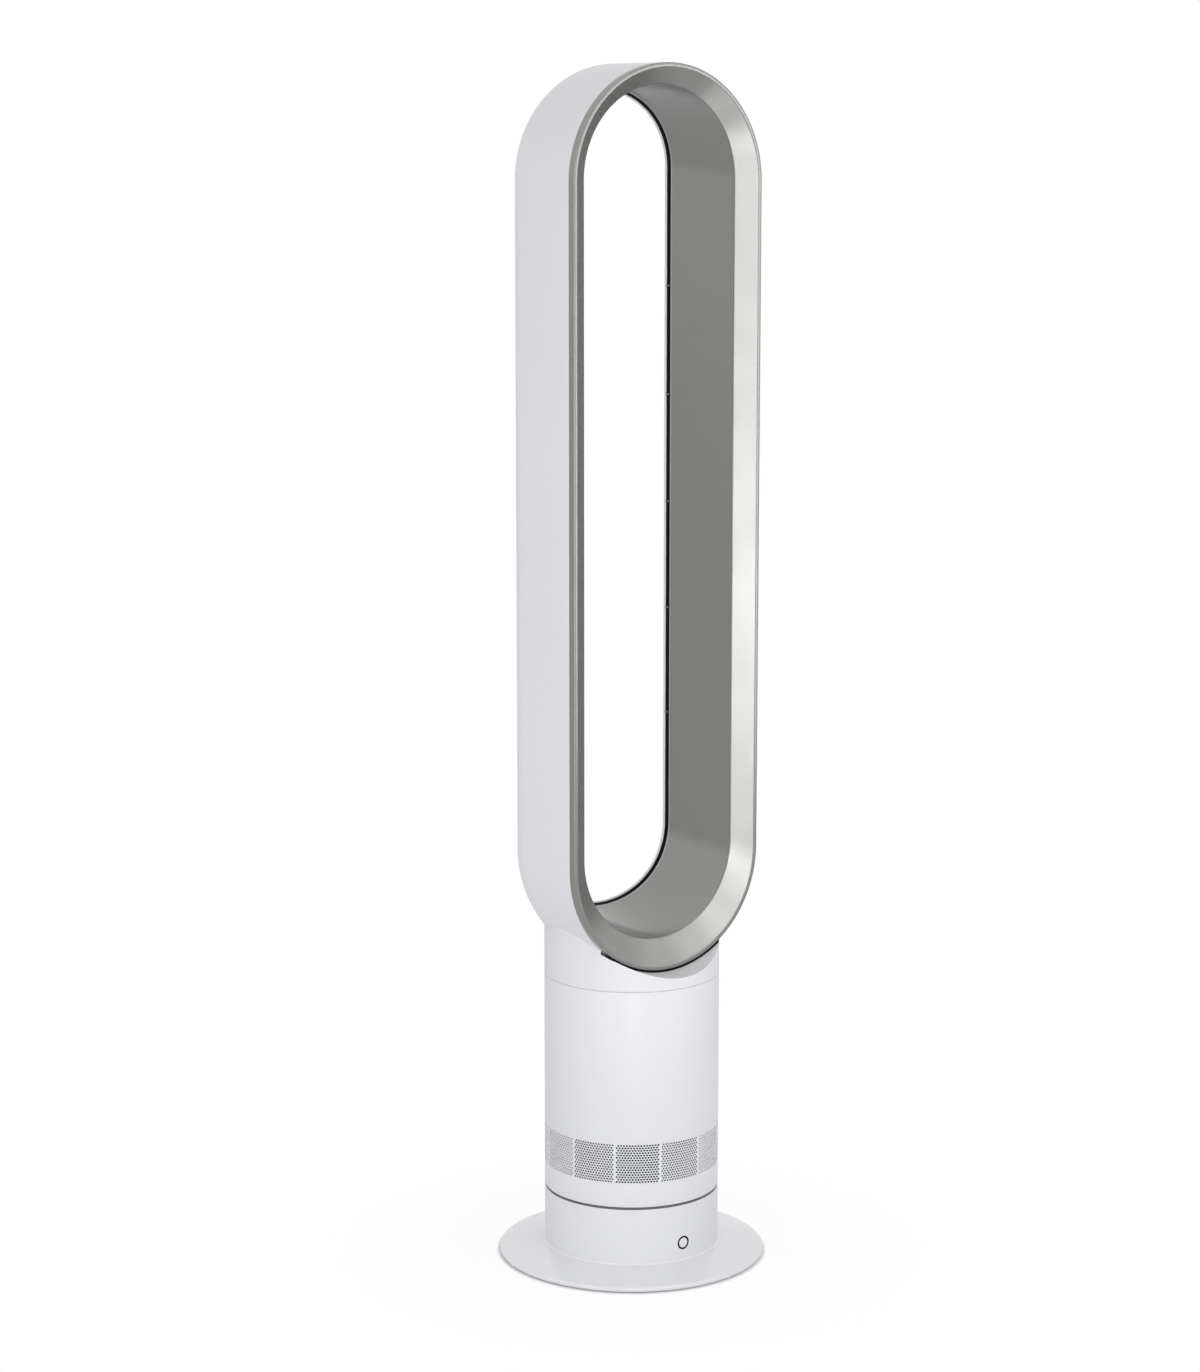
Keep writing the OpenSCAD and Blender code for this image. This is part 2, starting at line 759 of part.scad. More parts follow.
// Rows and columns of holes in one panel, in a staggered pattern
row_pitch_share = 0.866;
stagger_share = 0.25;
hole_edge = 0.8;
panel_w = 2 * PI * body_r / panels - strip_w;
row_pitch = hole_pitch * row_pitch_share;
hole_rows = floor((intake_h - 2 * hole_edge - hole_d) / row_pitch) + 1;
hole_cols = floor((panel_w - hole_d - hole_pitch / 2) / hole_pitch) + 1;

module intake_grille() {
    color(grey) difference() {
        tube(body_r, body_r - grille_t, intake_low, intake_top);
        around(panels, -front_angle) for (row = [0:hole_rows - 1]) for (col = [0:hole_cols - 1]) {
            shift = (row % 2 == 0 ? -stagger_share : stagger_share) * hole_pitch;
            along = (col - (hole_cols - 1) / 2) * hole_pitch + shift;
            up = (intake_low + intake_top) / 2 + (row - (hole_rows - 1) / 2) * row_pitch;
            rotate([0, 0, along / body_r * 180 / PI]) translate([body_r - 2 * grille_t, 0, up])
                rotate([0, 90, 0]) cylinder(d = hole_d, h = 3 * grille_t, $fn = fine);
        }
    }
}

module acoustic_foam() {
    color(dark) tube(cage_r - cage_t - clear, spindle_r + running + hub_wall + clear,
        turntable_top, turntable_top + foam_h);
}

// Fan unit: heights from the shroud's mouth upwards
mouth_rise = 1.6;
mouth_round = 9;
step_rise = 10;
mouth_z = intake_top + mouth_rise;
eye_z = mouth_z + mouth_round;
outlet_z = eye_z + impeller_h;
step_z = outlet_z + step_rise;
bucket_top = step_z + diffuser_h;
// Rubber mount between the shroud's flange and the ledge in the shell
mount_h = 4;
mount_w = 4.4;
flange_t = 3;
ledge_w = 5;
flange_z = step_z - flange_t;
ledge_z = flange_z - mount_h - flange_t;
ledge_notches = 3;
ledge_angle = 30;
notch_w = 6;
// Radii of the impeller, the motor and the shroud
eye_r = eye_share * inner_r;
tip_r = tip_share * inner_r;
hub_r = hub_share * inner_r;
bucket_r = bucket_share * inner_r;
stator_r = stator_share * inner_r;
stator_bore = bore_share * inner_r;
throat_r = eye_r + tip_gap;
shroud_r = tip_r + tip_gap;
shroud_bore = shroud_r + shroud_wall;
shroud_out = shroud_bore + shroud_wall;
shroud_lap = 10;

module body_shell() {
    color(white) difference() {
        rotate_extrude() {
            translate([inner_r, intake_top]) square([wall, shell_h]);
            translate([inner_r - ledge_w, ledge_z]) square([ledge_w + wall / 2, flange_t]);
        }
        around(ledge_notches, ledge_angle) translate([inner_r - ledge_w - over, -notch_w / 2, ledge_z - over])
            cube([ledge_w / 2 + over, notch_w, flange_t + 2 * over]);
    }
}

module mount_ring() {
    color(rubber) tube(inner_r - slip, inner_r - mount_w, ledge_z + flange_t, flange_z);
}

// The mouth's curve and the diffuser vane's curve, as points at a share of their turn
mouth_curve_steps = 6;
function mouth_at(i, r) = [throat_r + mouth_round - r * cos(90 * (1 - i / mouth_curve_steps)),
    eye_z - r * sin(90 * (1 - i / mouth_curve_steps))];

module fan_shroud() {
    color(cream) rotate_extrude() {
        polygon(concat([for (i = [0:mouth_curve_steps]) mouth_at(i, mouth_round)],
            [[shroud_r, outlet_z], [shroud_r, step_z], [shroud_bore, step_z],
            [shroud_bore, bucket_top + shroud_lap], [shroud_out, bucket_top + shroud_lap],
            [shroud_out, step_z], [inner_r - clear, step_z], [inner_r - clear, flange_z],
            [shroud_out, flange_z], [shroud_out, outlet_z]],
            [for (i = [mouth_curve_steps:-1:0]) mouth_at(i, mouth_round - shroud_wall)]));
    }
}

// Diffuser: two rings joined by curved vanes that straighten the air
vane_bow = 30;
vane_steps = 5;
vane_angle = asin(diffuser_h / vane_bow);
ring_t = 2;
diffuser_in = bucket_r + slip;
function vane_at(i, r) = [vane_bow - r * cos(vane_angle * i / vane_steps),
    diffuser_h * (1 - sin(vane_angle * i / vane_steps) / sin(vane_angle))];

module diffuser() {
    color(cream) {
        tube(shroud_bore - slip, shroud_r, step_z, bucket_top);
        tube(diffuser_in + ring_t, diffuser_in, step_z, bucket_top);
        intersection() {
            tube(shroud_r + slip, diffuser_in + ring_t / 2, step_z, bucket_top);
            around(vanes) translate([diffuser_in, 0, step_z]) rotate([90, 0, 90])
                linear_extrude(shroud_r - diffuser_in + over) polygon(concat(
                    [for (i = [0:vane_steps]) vane_at(i, vane_bow)],
                    [for (i = [vane_steps:-1:0]) vane_at(i, vane_bow - vane_t)]));
        }
    }
}

// Motor bucket: wall, skin of the impeller's hub under it, and bearing seats
bucket_wall = 2;
hub_skin = 2.4;
seat_lip = 1;
bucket_low = outlet_z + hub_skin + 4 * clear;
floor_z = bucket_top - stator_h;
bearing_r = bearing_d / 2;
bearing_boss_r = bearing_r + bucket_wall;
low_bearing_z = floor_z - seat_lip - bearing_h;
up_bearing_z = bucket_top + seat_lip;
flange_r = diffuser_in + ring_t;
cone_h = floor_z - bucket_low - seat_lip;
cone_run = (bucket_r - bearing_boss_r) / cone_h;
cavity_r = stator_r - bucket_wall;
cavity_z = bucket_low + bucket_wall * sqrt(1 + cone_run * cone_run) / cone_run;

module motor_bucket() {
    color(grey) rotate_extrude() difference() {
        union() {
            polygon([[0, bucket_low], [bearing_boss_r, bucket_low], [bucket_r, bucket_low + cone_h],
                [bucket_r, bucket_top + bucket_wall], [0, bucket_top + bucket_wall]]);
            translate([stator_r, bucket_top]) square([flange_r - stator_r, bucket_wall]);
        }
        translate([0, floor_z]) square([bucket_r - bucket_wall, bucket_top]);
        polygon([[bearing_boss_r, cavity_z], [cavity_r, cavity_z + (cavity_r - bearing_boss_r) / cone_run],
            [cavity_r, floor_z + over], [bearing_boss_r, floor_z + over]]);
        translate([0, low_bearing_z]) square([bearing_r + slip, stator_h]);
        translate([0, bucket_low - over]) square([shaft_d / 2 + 2 * clear, stator_h]);
    }
}

// Stator: an iron ring with slots for its windings
stator_slots = 12;
stator_slot_w = 3.4;
stator_back = 4;
stator_face = 0.8;

module motor_stator() {
    color(steel) difference() {
        tube(stator_r, stator_bore, floor_z, bucket_top);
        around(stator_slots) translate([stator_bore + stator_face, -stator_slot_w / 2, floor_z - over])
            cube([stator_r - stator_bore - stator_back - stator_face, stator_slot_w, stator_h + 2 * over]);
    }
}

// End cap with the upper bearing and four posts for the motor's own board
end_cap_t = 3;
driver_posts = 4;
driver_post_r = 2.5;
driver_post_at = stator_r - driver_post_r - seat_lip;
driver_z = up_bearing_z + bearing_h + seat_lip;
driver_caps = 3;
driver_angle = 15;
driver_cap_r = 4;
driver_cap_h = 11;

module motor_end_cap() {
    color(grey) {
        rotate_extrude() difference() {
            union() {
                translate([0, bucket_top]) square([stator_r, end_cap_t]);
                translate([0, bucket_top]) square([bearing_boss_r, seat_lip + bearing_h]);
            }
            translate([0, bucket_top - over]) square([shaft_d / 2 + 2 * clear, bearing_h]);
            translate([0, up_bearing_z]) square([bearing_r + slip, bearing_h + over]);
        }
        around(driver_posts, corner_angle) post([driver_post_at, 0], driver_post_r, bucket_top, driver_z);
    }
}

module motor_bearings() {
    color(steel) for (z = [low_bearing_z, up_bearing_z]) rotate_extrude() difference() {
        translate([shaft_d / 2 + running, z]) square([bearing_r - shaft_d / 2 - running, bearing_h]);
        for (face = [z, z + bearing_h]) translate([(shaft_d / 2 + bearing_r) / 2, face])
            square([bearing_r / 3, bearing_h / 5], center = true);
    }
}

module driver_board() {
    color(green) tube(stator_r, bearing_boss_r, driver_z, driver_z + board_t);
    color(dark) around(driver_caps, driver_angle) post([(stator_r + bearing_boss_r) / 2, 0], driver_cap_r,
        driver_z + board_t, driver_z + board_t + driver_cap_h);
}

// Pointed cap over the motor
cap_steps = 8;
cap_curve = 1.9;
cap_tip_r = 2;
cap_low = bucket_top + bucket_wall;
function cap_at(i, r, h) = let (t = i / cap_steps)
    [cap_tip_r + (r - cap_tip_r) * (1 - pow(t, cap_curve)), cap_low + h * t];

module bucket_cap() {
    color(grey) rotate_extrude() polygon(concat(
        [for (i = [0:cap_steps]) cap_at(i, flange_r, cap_h)],
        [[0, cap_low + cap_h], [0, cap_low + cap_h - bucket_wall]],
        [for (i = [cap_steps:-1:0]) cap_at(i, flange_r - bucket_wall, cap_h - bucket_wall)]));
}

// Impeller: a flared hub and swept blades trimmed to the shroud
hub_nose_r = 8;
hub_steps = 8;
hub_curve = 1.7;
sweep_share = 0.774;
blade_sweep = sweep_share * tip_r;
function hub_at(i, skin) = let (t = i / hub_steps)
    [hub_nose_r + (hub_r - hub_nose_r) * pow(t, 1 / hub_curve), eye_z + (impeller_h - hub_skin) * t + skin];

module impeller() {
    color(dark) difference() {
        union() {
            rotate_extrude() polygon(concat([[0, eye_z]], [for (i = [0:hub_steps]) hub_at(i, 0)],
                [for (i = [hub_steps:-1:0]) hub_at(i, hub_skin)], [[0, eye_z + hub_skin]]));
            translate([0, 0, eye_z]) cylinder(r = hub_nose_r - over, h = impeller_h, $fn = fine);
            intersection() {
                rotate_extrude() polygon(concat([[eye_r, eye_z], [tip_r, outlet_z]],
                    [for (i = [hub_steps:-1:0]) hub_at(i, hub_skin / 2)]));
                around(blades) translate([hub_nose_r, 0, eye_z - over])
                    linear_extrude(impeller_h + 2 * over) intersection() {
                        difference() {
                            translate([0, -blade_sweep]) circle(r = blade_sweep, $fn = smooth);
                            translate([0, -blade_sweep]) circle(r = blade_sweep - blade_t, $fn = smooth);
                        }
                        translate([0, -blade_sweep]) square(blade_sweep);
                    }
            }
        }
        translate([0, 0, eye_z - over])
            cylinder(r = shaft_d / 2 + slip, h = impeller_h + 2 * over, $fn = fine);
    }
}

rotor_gap = 0.6;
rotor_in = 2;
nut_r = 5;
nut_h = 3.5;

module motor_rotor() {
    color(steel) tube(stator_bore - rotor_gap, shaft_d / 2 + slip, floor_z + rotor_in, bucket_top - rotor_in);
}

module motor_shaft() {
    color(steel) translate([0, 0, eye_z - nut_h])
        cylinder(d = shaft_d, h = up_bearing_z + bearing_h - eye_z + nut_h, $fn = fine);
}

module impeller_nut() {
    color(steel) translate([0, 0, eye_z - nut_h]) difference() {
        cylinder(r = nut_r, h = nut_h, $fn = 6);
        translate([0, 0, -over]) cylinder(r = shaft_d / 2 + slip, h = nut_h + 2 * over, $fn = fine);
    }
}

// Neck: a stub of the body that the loop sits on, with a spigot and a seal below
seal_w = 2.4;
spigot_out = inner_r - seal_w - 2 * slip;
spigot_in = spigot_out - spigot_wall;
spigot_low = seam_z - spigot_l;
seal_lip = 1;
arc_step = 180 / arc_steps;
mouth_steps = round(asin(mouth_w / 2 / loop_r) / arc_step);
mouth_x = loop_r * sin(mouth_steps * arc_step);
mouth_y = (parting_y + nose_y) / 2;
mouth_front = mouth_y - mouth_d / 2;
mouth_back = mouth_y + mouth_d / 2;
neck_top = low_c - loop_r / 4;

module neck_seal() {
    seal_low = spigot_low + seal_lip;
    color(rubber) tube(inner_r - slip, spigot_out + slip, seal_low, seal_low + seal_h);
}

// A round bar along y about the middle of the loop's lower arc
module saddle(r, y0, y1) {
    translate([0, y1, low_c]) rotate([90, 0, 0]) cylinder(r = r, h = y1 - y0, $fn = smooth);
}

// The room of the loop in the neck: the bar's back is rounded as the outer shell is, down
// to the radius of the roof behind it
module loop_room(extra, front) {
    translate([0, 0, low_c]) rotate([-90, 0, 0]) rotate_extrude($fn = smooth) {
        translate([0, front]) square([loop_r + extra, nose_y - front]);
        translate([nose_in_r, nose_y]) circle(r = nose_r + extra, $fn = smooth);
        translate([0, nose_y]) square([loop_r + extra - rear_rise, body_r + over - nose_y]);
    }
}

module neck() {
    color(white) {
        difference() {
            translate([0, 0, seam_z]) cylinder(r = body_r, h = neck_top - seam_z);
            loop_room(slip, parting_y - over);
            saddle(loop_r + rim_gap, -body_r - over, parting_y);
            difference() {
                translate([0, 0, seam_z - over]) cylinder(r = inner_r, h = neck_top - seam_z);
                loop_room(rim_gap + wall, -body_r - over);
            }
            translate([-mouth_x, mouth_front, seam_z]) cube([2 * mouth_x, mouth_d, neck_top - seam_z + over]);
        }
        rotate_extrude() {
            translate([spigot_in, spigot_low]) square([spigot_wall, spigot_l + wall / 2]);
            translate([spigot_in, spigot_low]) square([inner_r - clear - spigot_in, seal_lip]);
            translate([spigot_in, seam_z]) square([inner_r + wall / 2 - spigot_in, wall / 2]);
        }
    }
}

// A closed outline round the loop for one point of its section: radius, y, and how far
// its upper and lower arcs are raised
function half_ring(mid, r, start) = [for (i = [0:arc_steps])
    [r * cos(start + i * arc_step), mid + r * sin(start + i * arc_step)]];
function ring(p) = [for (q = concat(half_ring(top_c + p[2], p[0], 0), half_ring(low_c + p[3], p[0], 180)))
    [q[0], p[1], q[1]]];
ring_n = 2 * (arc_steps + 1);
low_mid = arc_steps + 1 + arc_steps / 2;

// A wall that runs round the loop. The first half of the section is its outer face from
// front to back and the second half its inner face from back to front. Rows row0 to row1
// are left open for `half` steps to each side of the lowest point.
module loop_wall(section, row0, row1, half) {
    m = len(section);
    points = [for (p = section) each ring(p)];
    function at(i, j) = (j % m) * ring_n + i % ring_n;
    function open(i, j) = half > 0 && i >= low_mid - half && i < low_mid + half
        && ((j >= row0 && j < row1) || (j >= m - 1 - row1 && j < m - 1 - row0));
    i0 = low_mid - half;
    i1 = low_mid + half;
    walls = [for (j = [0:m - 1]) for (i = [0:ring_n - 1]) if (!open(i, j))
        [at(i, j), at(i, j + 1), at(i + 1, j + 1), at(i + 1, j)]];
    ends = half == 0 ? [] : [for (i = [i0:i1 - 1]) each
        [[at(i, row0), at(i, m - 1 - row0), at(i + 1, m - 1 - row0), at(i + 1, row0)],
         [at(i + 1, row1), at(i + 1, m - 1 - row1), at(i, m - 1 - row1), at(i, row1)]]];
    sides = half == 0 ? [] : [for (j = [row0:row1 - 1]) each
        [[at(i1, j), at(i1, m - 1 - j), at(i1, m - 2 - j), at(i1, j + 1)],
         [at(i0, j + 1), at(i0, m - 2 - j), at(i0, m - 1 - j), at(i0, j)]]];
    polyhedron(points = points, faces = concat(walls, ends, sides), convexity = 6);
}

// Rounded back of the outer shell: share of the turn, and a point on it
lip_round_share = 0.3;
function nose_share(i) = i / nose_steps;
function nose_at(i, r) = [nose_in_r + r * cos(90 * nose_share(i)), nose_y + r * sin(90 * nose_share(i)),
    slot_rise_top * nose_share(i), slot_rise * nose_share(i)];
lip_round = lip_round_share * shell_wall;

module outer_loop() {
    outer = concat([for (y = [parting_y, mouth_front, mouth_back]) [loop_r, y, 0, 0]],
        [for (i = [0:nose_steps]) nose_at(i, nose_r)],
        [[lip_r + lip_round, loop_back, slot_rise_top, slot_rise],
         [lip_r, loop_back - lip_round, slot_rise_top, slot_rise]]);
    inner = concat([for (y = [parting_y, mouth_front, mouth_back]) [loop_r - shell_wall, y, 0, 0]],
        [for (i = [0:nose_steps]) nose_at(i, nose_r - shell_wall)],
        [[lip_r + lip_round, lip_face_y, slot_rise_top, slot_rise],
         [lip_r, lip_face_y + lip_round, slot_rise_top, slot_rise]]);
    last = len(inner) - 1;
    color(white) loop_wall(concat(outer, [for (i = [last:-1:0]) inner[i]]), 1, 2, mouth_steps);
}

// Silver duct: the bevel's slanted length, and points along its back at a share of it
bevel_l = sqrt(bevel_w * bevel_w + bevel_d * bevel_d);
edge_band = 3.6;
edge_flare = 0.3;
corner_shares = [0.06, 0.1, 0.14];
elbow_share = 0.45;
function behind(t) = [rim_in_r + duct_wall * bevel_d / bevel_l - bevel_w * t,
    duct_wall * bevel_w / bevel_l - loop_front + bevel_d * t, bevel_rise_top * t, bevel_rise * t];

module inner_duct() {
    face = [[loop_r, parting_y, 0, 0],
        [loop_r, rim_round - loop_front, 0, 0],
        [loop_r - rim_round, -loop_front, 0, 0],
        [rim_in_r + rim_round, -loop_front, 0, 0],
        [rim_in_r - rim_round, rim_round - loop_front, 0, 0],
        [duct_front_r, bevel_y, bevel_rise_top, bevel_rise],
        [duct_rear_r + edge_flare, duct_rear_y - edge_band, slot_rise_top, slot_rise],
        [duct_rear_r, duct_rear_y, slot_rise_top, slot_rise]];
    back = concat([[loop_r - shell_wall, parting_y, 0, 0],
        [loop_r - shell_wall, behind(corner_shares[2])[1], 0, 0]],
        [for (t = corner_shares) behind(t)],
        [[duct_front_r + duct_wall, bevel_y + elbow_share * duct_wall, bevel_rise_top, bevel_rise],
        [duct_rear_r + edge_flare + duct_wall, duct_rear_y - edge_band, slot_rise_top, slot_rise],
        [duct_rear_r + duct_wall, duct_rear_y, slot_rise_top, slot_rise]]);
    last = len(back) - 1;
    color(silver) loop_wall(concat(face, [for (i = [last:-1:0]) back[i]]), 0, 0, 0);
}

module slot_spacers() {
    slot_low = low_c + slot_rise;
    slot_top = top_c + slot_rise_top;
    pitch = (slot_top - slot_low) / (spacers + 1);
    color(white) for (s = [0, 1]) mirror([s, 0, 0]) for (k = [1:spacers])
        translate([lip_r + clear, duct_rear_y + slip, slot_low + pitch * k - spacer_t / 2])
            cube([spacer_l, slot_w - slip - clear, spacer_t]);
}

rubber_feet();
bottom_cover();
cover_screws();
ballast_ring();
foot_plate();
base_column();
cord_grommet();
base_deck();
deck_screws();
bearing_balls();
ball_cage();
spindle_clip();
swivel_motor();
swivel_motor_screws();
output_shaft();
drive_pinion();
button_ring();
power_button();
switch_plunger();
push_switch();
control_board();
turntable();
ring_gear();
lower_collar();
intake_cage();
intake_grille();
acoustic_foam();
body_shell();
mount_ring();
fan_shroud();
diffuser();
motor_bucket();
motor_stator();
motor_end_cap();
motor_bearings();
driver_board();
bucket_cap();
impeller();
motor_rotor();
motor_shaft();
impeller_nut();
neck_seal();
neck();
outer_loop();
inner_duct();
slot_spacers();
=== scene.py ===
import json
import math

import bmesh
import bpy
from mathutils import Matrix, Vector


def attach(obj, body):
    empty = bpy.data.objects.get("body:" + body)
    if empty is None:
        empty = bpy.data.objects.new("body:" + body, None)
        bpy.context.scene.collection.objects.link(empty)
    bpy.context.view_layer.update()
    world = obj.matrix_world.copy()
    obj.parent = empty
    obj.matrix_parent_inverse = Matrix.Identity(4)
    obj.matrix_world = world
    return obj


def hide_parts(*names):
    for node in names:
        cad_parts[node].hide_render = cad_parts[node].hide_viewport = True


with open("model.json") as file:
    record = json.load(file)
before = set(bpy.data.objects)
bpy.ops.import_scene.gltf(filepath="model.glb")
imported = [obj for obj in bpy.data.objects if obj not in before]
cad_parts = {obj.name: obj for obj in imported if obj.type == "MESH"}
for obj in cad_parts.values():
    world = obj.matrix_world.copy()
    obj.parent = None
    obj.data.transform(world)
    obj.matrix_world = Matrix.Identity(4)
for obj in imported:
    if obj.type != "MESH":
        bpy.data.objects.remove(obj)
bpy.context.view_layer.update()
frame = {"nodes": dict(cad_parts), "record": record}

MM = 0.001

# Body and base in millimetres, as in the part
BODY_R = 74.4
WALL = 2.5
INNER_R = BODY_R - WALL
COLLAR_TOP = 13.4
SEAT_T = 2.5
FOOT_FILLET = 2.0
COVER_R = 106.6
BASE_TOP = 58.8
SWIVEL_GAP = 2.8
COLLAR_H = 20.1
INTAKE_H = 34.9
SHELL_H = 130.8
GAP_TOP = BASE_TOP + SWIVEL_GAP
INTAKE_LOW = GAP_TOP + COLLAR_H
INTAKE_TOP = INTAKE_LOW + INTAKE_H
SEAM_Z = INTAKE_TOP + SHELL_H
LEDGE_Z, LEDGE_W, LEDGE_T = 150.2, 5.0, 3.0
BUTTON_Z = 25.9
BUTTON_HOLE_R = 5.9
GROMMET_Z = 22.9
GROMMET_HOLE_R = 5.55

# Foot plate, swivel gap and button ring, drawn a little off the part's sizes to meet the photograph
PLATE_R = 113.6
PLATE_LOW = 0.8
PLATE_TOP = 10.6
PLATE_SKIN = 1.7
EDGE_H = 4.3
SEAT_IN_R = 61.0
COVER_SLIP = 0.05
GAP_CLOSED = 0.25
RING_R, RING_IN_R, RING_T = 5.88, 4.35, 1.2

# Air loop in millimetres, as in the part
TOTAL_H = 1007.0
LOOP_R = 95.0
LOOP_LIFT = 11.1
FRONT_Y = -50.2
RIM_W = 3.4
BEVEL_W, BEVEL_D = 15.7, 12.7
BEVEL_RISE, BEVEL_RISE_TOP = 6.0, 2.0
DUCT_TAPER, DUCT_LEN = 3.9, 82.5
RETURN_D = 7.2
SLOT_W = 1.8
LIP_IN = 3.0
SHELL_WALL, DUCT_WALL = 2.2, 2.0
NOSE_R = 24.0
LOW_C = SEAM_Z + LOOP_LIFT + LOOP_R
TOP_C = TOTAL_H - LOOP_R
RIM_IN_R = LOOP_R - RIM_W
DUCT_FRONT_R = RIM_IN_R - BEVEL_W
DUCT_REAR_R = DUCT_FRONT_R - DUCT_TAPER
BEVEL_Y = FRONT_Y + BEVEL_D
DUCT_REAR_Y = BEVEL_Y + DUCT_LEN
PARTING_Y = FRONT_Y + RETURN_D
LIP_FACE_Y = DUCT_REAR_Y + SLOT_W
LOOP_BACK = LIP_FACE_Y + SHELL_WALL
NOSE_Y = LOOP_BACK - NOSE_R
NOSE_IN_R = LOOP_R - NOSE_R
LIP_R = DUCT_REAR_R - LIP_IN

# Air loop and the neck's roof where they are drawn off the part's sizes: the slot's line, the gap at the
# rim and the back follow the photograph, and the roof is buried in the loop
SLOT_SHOWN = 0.9
SLOT_RISE, SLOT_RISE_TOP = 7.7, 10.0
SLOT_FLAT, SLOT_FLAT_TOP = 6.5, 5.0
NOSE_FLAT = 5.5
AT_BEVEL = (BEVEL_RISE_TOP, BEVEL_RISE, 0.0, 0.0)
AT_SLOT = (SLOT_RISE_TOP, SLOT_RISE, SLOT_FLAT_TOP, SLOT_FLAT)
RIM_GAP = 1.7
MOUTH_R = 34.0
ROOF_LEVEL_Y = 44.0
ROOF_BURIED = 1.0

# Softened edges of the mouldings and the groove of the body's seam
EDGE_SOFT = 0.35
SEAM_SOFT = 0.35
SEAM_OPEN = 0.12
SEAM_DEEP = 1.3
BAND_SOFT = 0.15

# Perforated band
BAND_PANELS = 12
BAND_COLUMNS = 16 * BAND_PANELS
BAND_ROWS = 16
PLAIN_COLUMNS = 1
BAND_ANGLE = 12.8
BAND_EDGE = 0.6
HOLE_R = 0.94
SHEET_T = 1.1

# Painted shade and a painted highlight placed by depth, in millimetres
SKIN_T = 1.0
HIGHLIGHT_PAINT_RUN = 3.6
SHADE_FRONT, SHADE_BACK, SHADE_OUT = 0.3, 2.0, 0.5

# Tones and light
# Near black, painted in as shade on the masked faces of the white finishes
PAINTED_SHADE_BLACK = (0.012, 0.012, 0.013)
FLOOR_TONE = (0.86, 0.86, 0.87)
PAPER_WHITE = (1.0, 1.0, 1.0)
WORLD_FILL = 0.76

# Floor in metres. A fade has a start, an end and how far the shadow is hidden from the camera at each
FLOOR_HALF = 20.0
FADE_NEAR = (0.1136, 0.1175, 0.0, 0.92)
FADE_FAR = (0.12, 0.30, 0.0, 0.08)


class Wire:
    """A socket that takes part in sums."""

    def __init__(self, graph, socket):
        self.graph = graph
        self.socket = socket

    def math(self, operation, *others):
        return self.graph.node("ShaderNodeMath", {"operation": operation}, (self, *others))

    def __add__(self, other):
        return self.math("ADD", other)

    __radd__ = __add__

    def __mul__(self, other):
        return self.math("MULTIPLY", other)

    __rmul__ = __mul__

    def __sub__(self, other):
        return self.math("SUBTRACT", other)

    def __rsub__(self, other):
        return self.graph.node("ShaderNodeMath", {"operation": "SUBTRACT"}, (other, self))

    def __truediv__(self, other):
        return self.math("DIVIDE", other)

    def __rtruediv__(self, other):
        return self.graph.node("ShaderNodeMath", {"operation": "DIVIDE"}, (other, self))

    def __gt__(self, other):
        return self.math("GREATER_THAN", other)

    def __lt__(self, other):
        return self.math("LESS_THAN", other)


class Graph:
    """A node tree and the methods that add its nodes."""

    def __init__(self, tree):
        self.tree = tree

    def node(self, kind, settings=None, sockets=(), out=0):
        """Add a node, fill its settings and inputs, and hand back the outputs asked for."""
        made = self.tree.nodes.new(kind)
        for key, value in (settings or {}).items():
            setattr(made, key, value)
        pairs = sockets.items() if isinstance(sockets, dict) else enumerate(sockets)
        for key, value in pairs:
            self.feed(made.inputs[key], value)
        if isinstance(out, tuple):
            return tuple(Wire(self, made.outputs[key]) for key in out)
        return Wire(self, made.outputs[out]) if len(made.outputs) else None

    def feed(self, socket, value):
        """Link a wire or a list of wires, or set a plain value. A colour gets its alpha."""
        if isinstance(value, Wire):
            self.tree.links.new(value.socket, socket)
        elif isinstance(value, list):
            for wire in value:
                self.tree.links.new(wire.socket, socket)
        elif value is not None:
            if isinstance(value, tuple) and len(value) < len(socket.default_value):
                value = (*value, 1.0)
            socket.default_value = value

    def split(self, vector, axes):
        return self.node("ShaderNodeSeparateXYZ", sockets=(vector,), out=axes)

    def vector(self, x, y, z):
        return self.node("ShaderNodeCombineXYZ", sockets=(x, y, z))


class Finish(Graph):
    """A material or a world and the nodes of its look."""

    def __init__(self, owner):
        owner.use_nodes = True
        super().__init__(owner.node_tree)
        self.owner = owner
        self.tree.nodes.clear()

    def place(self):
        return self.node("ShaderNodeTexCoord", out="Object")

    def length(self, vector):
        return self.node("ShaderNodeVectorMath", {"operation": "LENGTH"}, (vector,), out="Value")

    def ramp(self, value, start, end, low, high):
        settings = {"interpolation_type": "SMOOTHSTEP"}
        return self.node("ShaderNodeMapRange", settings, (value, start, end, low, high))

    def noise(self, scale, detail=3.0):
        sockets = {"Vector": self.place(), "Scale": scale, "Detail": detail}
        return self.node("ShaderNodeTexNoise", sockets=sockets)

    def blend(self, share, first, second):
        sockets = {0: share, 6: first, 7: second}
        return self.node("ShaderNodeMix", {"data_type": "RGBA"}, sockets, out=2)

    def bump(self, height, distance, strength):
        sockets = {"Strength": strength, "Distance": distance, "Height": height}
        return self.node("ShaderNodeBump", sockets=sockets)

    def surface(self, **sockets):
        """A principled surface, its inputs named with underscores for spaces."""
        named = {key.replace("_", " "): value for key, value in sockets.items()}
        shader = self.node("ShaderNodeBsdfPrincipled", sockets=named)
        self.node("ShaderNodeOutputMaterial", sockets=(shader,))
        return self.owner


def new_finish(name):
    return Finish(bpy.data.materials.new(name))


